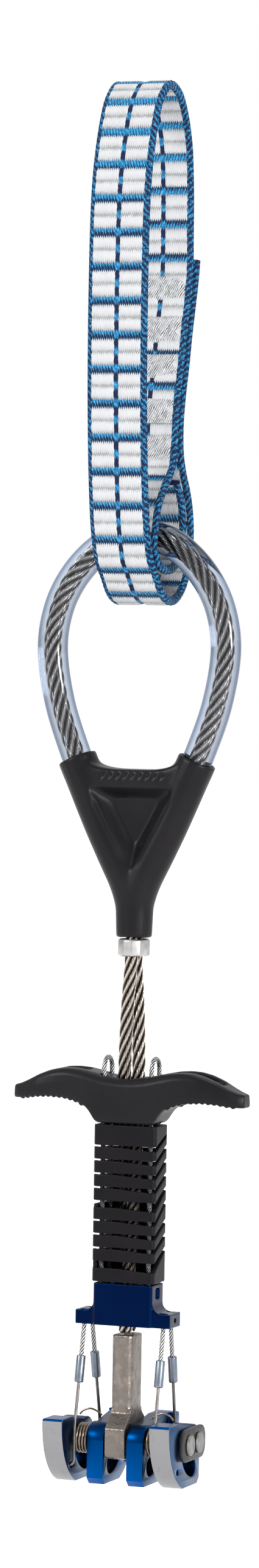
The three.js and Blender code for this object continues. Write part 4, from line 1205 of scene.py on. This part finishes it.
def upright(outline, low, high):
    """A closed prism that stands on an outline, between two heights in millimetres."""
    return grid_surface(placed(xyz(*outline.T, np.array([[low], [high]]))))


def round_outline(radius, x=0.0, y=0.0, sides=40):
    """A circle in the plan."""
    return [x, y] + radius * around(ring_angles(sides))


def box_outline(half_x, half_y, corner, x=0.0, y=0.0, steps=8):
    """A rectangle with round corners in the plan, anticlockwise."""
    quarter = np.linspace(0, QUARTER, steps)
    corners = [
        [x + sx * (half_x - corner), y + sy * (half_y - corner)] + corner * around(quarter + k * QUARTER)
        for k, (sx, sy) in enumerate(((1, 1), (-1, 1), (-1, -1), (1, -1)))
    ]
    return np.concatenate(corners)


def collar_surface():
    """The collar round its oval bore: its reach lies between a circle's and that of twelve flats."""
    low, high = (corner / MM for corner in node_box("collar"))
    middle, half = (low + high) / 2, (high - low) / 2
    facets = ring_angles(96)
    half_side = TURN / COLLAR_SIDES / 2
    within = (facets + half_side) % (2 * half_side) - half_side
    flats = 0.3 + 0.7 * math.cos(half_side) / np.cos(within)
    outer = middle[:2] + half[:2] * flats[:, None] * around(facets)
    bore = box_outline(*COLLAR_BORE, *middle[:2])[::-1]
    collar = plate([outer, bore], low[2], high[2], COLLAR_EDGE, axes=(0, 1, 2), steps=5)
    collar.points = collar.points * MM
    return collar


# Cams and the rest of the head, with outlines in the frame's Y and Z

CAM_ANGLE = math.radians(14.5)
CAM_TIP = 14.62
CAM_REACH = CAM_TIP * math.cos(CAM_ANGLE)
CAM_TOP = 4.65
CAM_END = 10.5
CAM_CORNER = [[CAM_REACH, 2.7], [CAM_REACH, 4.2], [CAM_REACH - 0.45, CAM_TOP]]
HUB_RADIUS = 3.6
AXLE_SPACING = 5.2
AXLE_HOLE = 1.8
SLOT_START, SLOT_END, SLOT_HALF = math.radians(1), math.radians(-82), 1.9
HOOK = (9.0, -5.1)
HOOK_HOLE, SPRING_HOLE = 0.62, (0.6, 10.6, 2.9)
PLATE_OUTLINE = (6.6, 3.35, 2.4)
COIL_SPAN, COIL_GAP, COIL_STEPS, ARCH_SHARE = (6.1, 9.4), 0.15, 160, 0.62
SPRING_ARCH = ((5.4, 0.4, 4.35), (6.2, 0.4, 4.95), (7.9, 0.4, 5.55), (9.5, 0.3, 5.05), (10.2, 0.2, 4.3))
WEB_THICKNESS, RIM_OVERLAP, RIM_DEPTH = 3.6, 0.3, 2.6
AXLE_RADIUS, AXLE_HEAD, HEAD_HEIGHT, DOME_HEIGHT = 1.7 * MM, 2.15 * MM, 0.35 * MM, 0.2 * MM


def spiral_radius(angles):
    """Radius of the cam's logarithmic spiral, which meets the rock at one angle all along."""
    return CAM_TIP * np.exp((angles - CAM_ANGLE) * math.tan(CAM_ANGLE))


def cam_outline():
    """Outline of a cam as reach and height from its pivot, its grip face first."""
    angles = np.radians(np.linspace(-57, CAM_END, 90))
    grip = spiral_radius(angles)[:, None] * around(angles)
    hub = HUB_RADIUS * around(np.radians(np.linspace(68, 180, 24)))
    foot = [[-HUB_RADIUS, grip[0, 1] + 1.3], [-2.3, grip[0, 1]]]
    return np.concatenate([grip, CAM_CORNER, [[CAM_REACH - 5.65, CAM_TOP]], hub, foot])


def rim_outline(pivot):
    """Outline of an inner cam's wide rim behind its grip face."""
    angles = np.radians(np.linspace(-8, CAM_END, 24))
    radius = spiral_radius(angles)[:, None]
    outside, inside = radius * around(angles) - [0.02, 0], (radius - RIM_DEPTH) * around(angles)
    tip = [*CAM_CORNER, [CAM_REACH - RIM_DEPTH, CAM_TOP]]
    return np.concatenate([outside, tip, inside[::-1]]) + [pivot, 0]


def slot_outline():
    """The arc slot that clears the other axle as the cam turns, clockwise."""
    bend = around(np.linspace(SLOT_END, SLOT_START, 36))
    cap = np.linspace(0, math.pi, 14)[1:-1]
    outline = [
        (AXLE_SPACING + SLOT_HALF) * bend,
        AXLE_SPACING * bend[-1] + SLOT_HALF * around(SLOT_START + cap),
        (AXLE_SPACING - SLOT_HALF) * bend[::-1],
        AXLE_SPACING * bend[0] + SLOT_HALF * around(SLOT_END + math.pi + cap),
    ]
    return np.concatenate(outline)[::-1]


def cam_loops(grip, pivot):
    """Outlines of a cam and its holes; an inner cam has a hole for its spring."""
    holes = [slot_outline(), round_outline(AXLE_HOLE)[::-1], round_outline(HOOK_HOLE, *HOOK, sides=20)[::-1]]
    if grip > 0:
        holes.append(round_outline(*SPRING_HOLE, sides=20)[::-1])
    return [(loop * [grip, 1])[::grip] + [pivot, 0] for loop in (cam_outline(), *holes)]


def cam_surface(node, link, side):
    """A cam: one plate, and on an inner cam a web beside the axle with a wider rim."""
    low, high = (corner[0] / MM for corner in node_box(node))
    edge = bpy.context.scene.cam_head.cam_edge / MM
    loops, rim_start = cam_loops(link["grip"], link["pivot"]), WEB_THICKNESS - RIM_OVERLAP
    if link["grip"] < 0:
        return in_frame(plate(loops, low, high, edge))
    web = (low, low + WEB_THICKNESS) if side > 0 else (high - WEB_THICKNESS, high)
    rim = (low + rim_start, high) if side > 0 else (low, high - rim_start)
    return in_frame(together([plate(loops, *web, edge), plate([rim_outline(link["pivot"])], *rim, edge)]))


def in_frame(surface):
    """The surface with its points taken from millimetres at the head into the frame."""
    surface.points = placed(surface.points)
    return surface


def paint_grip(mesh, grip, pivot):
    """Gives the second material to the faces that lie on the cam's spiral."""
    _, y, z = ((values_of(mesh.polygons, "center") - HEAD) / MM).T
    y = (y - pivot) * grip
    off_spiral = np.abs(np.hypot(y, z) - spiral_radius(np.arctan2(z, y)))
    flat_on = np.abs(values_of(mesh.polygons, "normal")[:, 0]) < 0.9
    near = (off_spiral < 0.5) & (y > 3) & (z < 4.4) & flat_on
    mesh.polygons.foreach_set("material_index", near.astype(np.int32))


def axle_surface(node):
    """An axle: its rod, and at both ends a head with a low dome that rises as a sine."""
    middle, end = node_middle(node), node_box(node)[1][0]
    dome = np.linspace(0, QUARTER, 8)
    shoulder = end - HEAD_HEIGHT
    rise = end - DOME_HEIGHT + DOME_HEIGHT * np.sin(dome)
    half = np.concatenate(
        [
            [[0, AXLE_RADIUS], [shoulder, AXLE_RADIUS], [shoulder, AXLE_HEAD]],
            np.stack([rise, AXLE_HEAD * (0.84 + 0.16 * np.cos(dome))], 1),
            [[end + 0.02 * MM, AXLE_HEAD * 0.4]],
        ]
    )
    profile = np.concatenate([(half * [-1, 1])[::-1], half[1:]])
    return grid_surface(lathe(profile, middle, middle + X_AXIS, 48))


def end_plate_surface(node, settings):
    """An end plate: a box with round corners and a hole for each axle."""
    low, high = (corner[0] / MM for corner in node_box(node))
    holes = [round_outline(AXLE_HOLE, y)[::-1] for y in (-AXLE_SPACING / 2, AXLE_SPACING / 2)]
    outline = box_outline(*PLATE_OUTLINE, steps=10)
    return in_frame(plate([outline, *holes], low, high, settings.plate_edge / MM))


def spring_surface(side, settings):
    """A cam spring: a close coil round the front axle with a leg at either end, and its thin arch."""
    wire, radius = settings.spring_wire / MM, settings.spring_coil / MM
    low, high = COIL_SPAN[0] + wire + COIL_GAP, COIL_SPAN[1] - wire - COIL_GAP
    angle = QUARTER + TURN * np.linspace(0, settings.spring_turns, COIL_STEPS)
    coil = xyz(np.linspace(low, high, COIL_STEPS), radius * np.cos(angle), radius * np.sin(angle))
    last = angle[-1] + QUARTER
    leaving = coil[-1] + np.outer([1.2, 2.4], [0, math.cos(last), math.sin(last)])
    wound = np.concatenate([[[low, 3.4, radius], [low, 1.8, radius]], coil, leaving])
    wound = wound * [side, 1, 1] + [0, -AXLE_SPACING / 2, 0]
    arch = placed(smooth_route(np.array(SPRING_ARCH) * [side, 1, 1], 0.2))
    thick = tube(placed(even_route(wound, 0.28)), settings.spring_wire, 12, X_AXIS)
    return together([thick, tube(arch, settings.spring_wire * ARCH_SHARE, 10, Y_AXIS)])


# Pull links

LINKS = {
    "outer": {"grip": -1, "across": 8.75, "face": 9.4, "into": 1, "pivot": AXLE_SPACING / 2},
    "inner": {"grip": 1, "across": 8.1, "face": 6.1, "into": -1, "pivot": -AXLE_SPACING / 2},
}
ALL_LINKS = [(kind, link, hand, side) for hand, side in SIDES for kind, link in LINKS.items()]
WIRE_CLEAR = 2.6
WIRE_RADIUS = 0.33 * MM
YOKE_BOTTOM = 23.3
YOKE_HOLE = (8.6, 2.2)
FERRULE_ENDS, FERRULE_RADIUS, FERRULE_BORE, FERRULE_EDGE = (11.5, 16.9), 0.95, 0.43, 0.25
FERRULE_DISH = 0.1
STUB_ENDS = (16.6, 22.75)
YOKE_CABLE = (22.7, 24.8)


def link_points(link, side, heights):
    """Points on the link's line from the cam's hook up to the yoke's hole."""
    z = np.asarray(heights, float)
    hole = link["pivot"] + link["grip"] * HOOK[0]
    rise = np.clip((z - WIRE_CLEAR) / (YOKE_BOTTOM - WIRE_CLEAR), 0, None)
    lean = (z - HOOK[1]) / (YOKE_BOTTOM - HOOK[1])
    across = side * (link["across"] + (YOKE_HOLE[0] - link["across"]) * lean)
    return xyz(across, hole + (link["grip"] * YOKE_HOLE[1] - hole) * rise, z)


def link_line(link, side, ends):
    """The straight stretch of a link's line between two heights, in the frame."""
    return placed(even_route(link_points(link, side, ends), 0.2))


def hooked_wire(link, side):
    """Surface of the hooked wire, from inside the cam up into the ferrule."""
    drop, across, into = HOOK[1], link["across"], link["into"]
    out = side * np.array([link["face"] + into * 2.3, across + into * 0.8, across])
    hook = xyz(out, link["pivot"] + link["grip"] * HOOK[0], [drop, drop, drop + 0.8])
    route = np.concatenate([hook, link_points(link, side, [drop + 1.6, 1.8, 3.4, 11.8, 13.9])])
    return tube(placed(smooth_route(route, 0.25)), WIRE_RADIUS, 12, Y_AXIS, rounded=0.0003)


def ferrule_surface(link, side):
    """A ferrule: a bored tube whose outer edges follow a quarter circle."""
    low, high = placed(link_points(link, side, FERRULE_ENDS))
    reach = np.linalg.norm(high - low)
    bend = np.linspace(0, QUARTER, 5)
    flat = FERRULE_RADIUS - FERRULE_EDGE + FERRULE_EDGE * np.cos(bend)
    foot = np.stack([FERRULE_EDGE * MM * (1 - np.sin(bend)), flat * MM], 1)[::-1]
    start, bore = FERRULE_DISH * MM, FERRULE_BORE * MM
    profile = [[[start, bore]], foot, (foot * [-1, 1] + [reach, 0])[::-1], [[reach - start, bore]]]
    return grid_surface(lathe(np.concatenate(profile), low, high, 28), closed_rows=True)


# Operators


class CAMMING_OT_sling(bpy.types.Operator):
    """Weaves the sling and its bar tacks"""

    bl_idname = "camming.sling"
    bl_label = "Sling"

    def execute(self, context):
        settings = context.scene.cam_sling
        path = sling_path()
        phase = bar_phase(path, settings)
        weave = webbing_finish(settings, phase)
        add_piece("sling_webbing", sling_surface(path, phase, settings), weave, ["sling"], 60)
        add_piece("bar_tacks", tack_surface(path, settings), tack_finish(settings), ["sling"], 70)
        return {"FINISHED"}


class CAMMING_OT_rope(bpy.types.Operator):
    """Lays the main rope's strands and draws the clear tube over its loop"""

    bl_idname = "camming.rope"
    bl_label = "Rope and tube"

    def execute(self, context):
        settings = context.scene.cam_rope
        route = placed(smooth_route(rope_route(), 0.5))
        rope = wire_rope(route, settings.rope_radius, settings.strands, settings.lay, Y_AXIS)
        finish = rope_finish("rope_wire", settings.rope, settings.rope_radius / 3, ROPE_GROOVE_SHADE)
        add_piece("main_rope", rope, finish, ["main_cable"], 60)
        line = placed(tube_route())
        ring = rings(*square_to(line, Y_AXIS), 40)
        outside, inside = (line[:, None] + r * ring for r in (settings.tube_radius, settings.tube_bore))
        wall = grid_surface(np.concatenate([outside, inside[::-1]]), closed_rows=True)
        add_piece("clear_tube", wall, tube_finish(settings), ["thumb_loop_tube"])
        return {"FINISHED"}


class CAMMING_OT_thumb_rest(bpy.types.Operator):
    """Moulds the thumb rest and presses the collar under it"""

    bl_idname = "camming.thumb_rest"
    bl_label = "Thumb rest and collar"

    def execute(self, context):
        settings = context.scene.cam_moulding
        grain = settings.grain
        finish = plastic_finish("thumb_rest_plastic", settings)
        rest = moulded_copy("thumb_rest_moulding", "thumb_rest", finish, grain, passes=9)
        relaxed(rest, rest_softness(values_of(rest.data.vertices, "co")), passes=70)
        recess(rest.data)
        bored(rest, [together([notch(index, face) for index in range(NOTCHES) for face in FACES])])
        moulded(rest, grain, passes=3)
        finish = steel_finish("pressed_collar", settings.collar)
        add_piece("pressed_collar", collar_surface(), finish, ["collar"], 50)
        return {"FINISHED"}


class CAMMING_OT_trigger(bpy.types.Operator):
    """Moulds the trigger and loops its two cables over it"""

    bl_idname = "camming.trigger"
    bl_label = "Trigger and cables"

    def execute(self, context):
        settings = context.scene.cam_moulding
        finish = plastic_finish("trigger_plastic", settings)
        bar = add_piece("trigger_moulding", trigger_surface(), finish, ["trigger"])
        cutters = [upright(round_outline(TRIGGER_BORE), CUT_LOW, CUT_HIGH)]
        for _, side in SIDES:
            holes = [round_outline(CABLE_HOLE, side * CABLE_ACROSS, face * CABLE_DEPTH) for face in FACES]
            cutters += [upright(hole, CUT_LOW, CUT_HIGH) for hole in holes]
            cutters.append(upright(box_outline(*HOLLOW, side * HOLLOW_ACROSS), CUT_HOLLOW, CUT_HIGH))
        bored(bar, cutters)
        edited(bar.data, lambda shell: shell.from_mesh(mesh_of("nubs", nubs())))
        moulded(bar, settings.grain, passes=4)
        rope = context.scene.cam_rope
        finish = cable_finish("cable_wire", rope, CABLE_GROOVE_SHADE)
        for hand, side in SIDES:
            cable = thin_cable(placed(smooth_route(trigger_cable_route(side), 0.35)), rope, X_AXIS)
            add_piece(f"trigger_wire_{hand}", cable, finish, [f"trigger_cable_{hand}"], 60)
        return {"FINISHED"}


class CAMMING_OT_sleeve(bpy.types.Operator):
    """Moulds the slit sleeve and machines the yoke"""

    bl_idname = "camming.sleeve"
    bl_label = "Sleeve and yoke"

    def execute(self, context):
        settings = context.scene.cam_moulding
        finish = plastic_finish("sleeve_plastic", settings)
        grain = settings.sleeve_grain
        moulded_copy("slit_sleeve", "sleeve", finish, grain, passes=3, kept=0.4)
        finish = anodised_finish("anodised_navy", settings.yoke, 0.3)
        grain = settings.fine_grain
        moulded_copy("anodised_yoke", "yoke", finish, grain, passes=4)
        rope = context.scene.cam_rope
        lines = [link_line(link, side, YOKE_CABLE) for link in LINKS.values() for _, side in SIDES]
        ends = together([thin_cable(line, rope, Y_AXIS) for line in lines])
        finish = cable_finish("cable_end_wire", rope, STUB_GROOVE_SHADE)
        add_piece("cable_ends", ends, finish, ["yoke"], 60)
        return {"FINISHED"}


class CAMMING_OT_head(bpy.types.Operator):
    """Makes the terminal, the axles, the end plates and the cam springs"""

    bl_idname = "camming.head"
    bl_label = "Head"

    def execute(self, context):
        settings = context.scene.cam_head
        grain = context.scene.cam_moulding.fine_grain
        finish = steel_finish("terminal_steel", settings.terminal)
        moulded_copy("swaged_terminal", "terminal", finish, grain, passes=10)
        finish = steel_finish("rivet_steel", settings.rivet)
        for place in ("front", "back"):
            node = f"axle_{place}"
            add_piece(f"riveted_{node}", axle_surface(node), finish, [node], 40)
        dark = steel_finish("end_plate_steel", settings.plate)
        wound = steel_finish("spring_wire", settings.spring)
        for hand, side in SIDES:
            node = f"end_plate_{hand}"
            flat = end_plate_surface(node, settings)
            add_piece(f"rounded_plate_{hand}", flat, dark, [node], 40)
            spring = spring_surface(side, settings)
            add_piece(f"wound_spring_{hand}", spring, wound, [f"cam_spring_{hand}"], 60)
        return {"FINISHED"}


class CAMMING_OT_cams(bpy.types.Operator):
    """Machines the four cams, with bare grip faces on their spirals"""

    bl_idname = "camming.cams"
    bl_label = "Cams"

    def execute(self, context):
        settings = context.scene.cam_head
        finishes = [anodised_finish("anodised_blue", settings.blue, 0.32, 0.8), grip_finish(settings)]
        for kind, link, hand, side in ALL_LINKS:
            node = f"{kind}_cam_{hand}"
            body = cam_surface(node, link, side)
            cam = add_piece(f"machined_cam_{kind}_{hand}", body, finishes, [node], 30)
            paint_grip(cam.data, link["grip"], link["pivot"])
        return {"FINISHED"}


class CAMMING_OT_links(bpy.types.Operator):
    """Makes the four pull links: hooked wire, ferrule and cable stub"""

    bl_idname = "camming.links"
    bl_label = "Pull links"

    def execute(self, context):
        settings, rope = context.scene.cam_head, context.scene.cam_rope
        wire_steel = steel_finish("hooked_wire_steel", settings.wire)
        alloy = steel_finish("ferrule_alloy", settings.ferrule)
        stub_wire = cable_finish("stub_wire", rope, STUB_GROOVE_SHADE)
        for kind, link, hand, side in ALL_LINKS:
            end = f"{kind}_{hand}"
            wire = hooked_wire(link, side)
            add_piece(f"hooked_wire_{end}", wire, wire_steel, [f"pull_wire_{end}"], 60)
            ferrule = ferrule_surface(link, side)
            add_piece(f"pressed_ferrule_{end}", ferrule, alloy, [f"ferrule_{end}"], 50)
            stub = thin_cable(link_line(link, side, STUB_ENDS), rope, Y_AXIS, 8)
            add_piece(f"cable_stub_{end}", stub, stub_wire, [f"pull_cable_{end}"], 60)
        return {"FINISHED"}


FLOOR_HALF = 6.0
# Name, place from the device's middle, size of a side and power in watts
LIGHTS = (
    ("key", (-0.75, -0.95, 0.55), 0.4, 12.5),
    ("fill", (1.1, -0.55, 0.2), 0.3, 13.0),
    ("top", (0.1, 0.2, 1.1), 0.6, 5.0),
)


class CAMMING_OT_stage(bpy.types.Operator):
    """Sets up the floor, the lights and the camera"""

    bl_idname = "camming.stage"
    bl_label = "Stage"

    def execute(self, context):
        scene = context.scene
        low, high = CAD_BOX
        ground = low[2] - scene.cam_stage.floor_drop
        floor = bpy.data.meshes.new("floor")
        corners = [(FLOOR_HALF * x, FLOOR_HALF * y, ground) for x, y in ((-1, -1), (1, -1), (1, 1), (-1, 1))]
        floor.from_pydata(corners, [], [(0, 1, 2, 3)])
        floor.materials.append(stage_finish())
        add_object("floor", floor)
        add_world(scene)
        middle = Vector([(a + b) / 2 for a, b in zip(low, high)])
        for name, place, size, power in LIGHTS:
            lamp = bpy.data.lights.new(name, "AREA")
            lamp.shape, lamp.size, lamp.energy = "SQUARE", size, power
            light = add_object(name, lamp)
            light.location = middle + Vector(place)
            light.rotation_mode = "QUATERNION"
            light.rotation_quaternion = Vector(place).to_track_quat("Z", "Y")
        add_camera(scene, scene.cam_stage)
        scene.view_settings.view_transform = "Standard"
        return {"FINISHED"}


def add_world(scene):
    """A soft white surround that is plain white to the camera."""
    world = bpy.data.worlds.new("surround")
    made = Tree(world)
    back = made.nodes["Background"]
    made.put(back.inputs["Strength"], made.seen() * (1 - SURROUND_LIGHT) + SURROUND_LIGHT)
    made.put(back.inputs["Color"], (1, 1, 1))
    scene.world = world


def add_camera(scene, settings):
    """A camera at the photograph's distance, angle and lean."""
    azimuth, elevation = settings.azimuth, settings.elevation
    level = math.cos(elevation)
    back = Vector((math.sin(azimuth) * level, -math.cos(azimuth) * level, math.sin(elevation)))
    right = Vector((math.cos(azimuth), math.sin(azimuth), 0))
    aim = Vector(HEAD.tolist()) + Vector((0, 0, settings.aim_height)) + right * settings.aim_across
    data = bpy.data.cameras.new("camera")
    data.sensor_width = 36
    data.lens = data.sensor_width * settings.focal_pixels / settings.picture_height
    data.clip_start, data.clip_end = 0.05, 20
    camera = add_object("camera", data)
    camera.location = aim + back * settings.distance
    camera.rotation_mode = "QUATERNION"
    lean = Matrix.Rotation(settings.roll, 4, back).to_quaternion()
    camera.rotation_quaternion = lean @ back.to_track_quat("Z", "Y")
    scene.camera = camera


class CAMMING_PT_panel(bpy.types.Panel):
    """Lists the device's pieces in the sidebar"""

    bl_label = "Camming device"
    bl_idname = "CAMMING_PT_panel"
    bl_space_type = "VIEW_3D"
    bl_region_type = "UI"
    bl_category = "Camming device"

    def draw(self, context):
        for name, group in SETTINGS.items():
            box = self.layout.box()
            for key in group.__annotations__:
                box.prop(getattr(context.scene, name), key)
        for operator in OPERATORS:
            self.layout.operator(operator.bl_idname)


OPERATORS = (
    CAMMING_OT_stage,
    CAMMING_OT_sling,
    CAMMING_OT_rope,
    CAMMING_OT_thumb_rest,
    CAMMING_OT_trigger,
    CAMMING_OT_sleeve,
    CAMMING_OT_head,
    CAMMING_OT_cams,
    CAMMING_OT_links,
)
CLASSES = (*SETTINGS.values(), *OPERATORS, CAMMING_PT_panel)


def register():
    """Adds the classes, and their settings to every scene."""
    for each in CLASSES:
        bpy.utils.register_class(each)
    for name, group in SETTINGS.items():
        setattr(bpy.types.Scene, name, PointerProperty(type=group))


def unregister():
    """Removes what register added."""
    for name in SETTINGS:
        delattr(bpy.types.Scene, name)
    for each in reversed(CLASSES):
        bpy.utils.unregister_class(each)


def main():
    """Registers the add-on and builds every piece."""
    register()
    for operator in OPERATORS:
        category, name = operator.bl_idname.split(".")
        getattr(getattr(bpy.ops, category), name)()


if __name__ == "__main__":
    main()
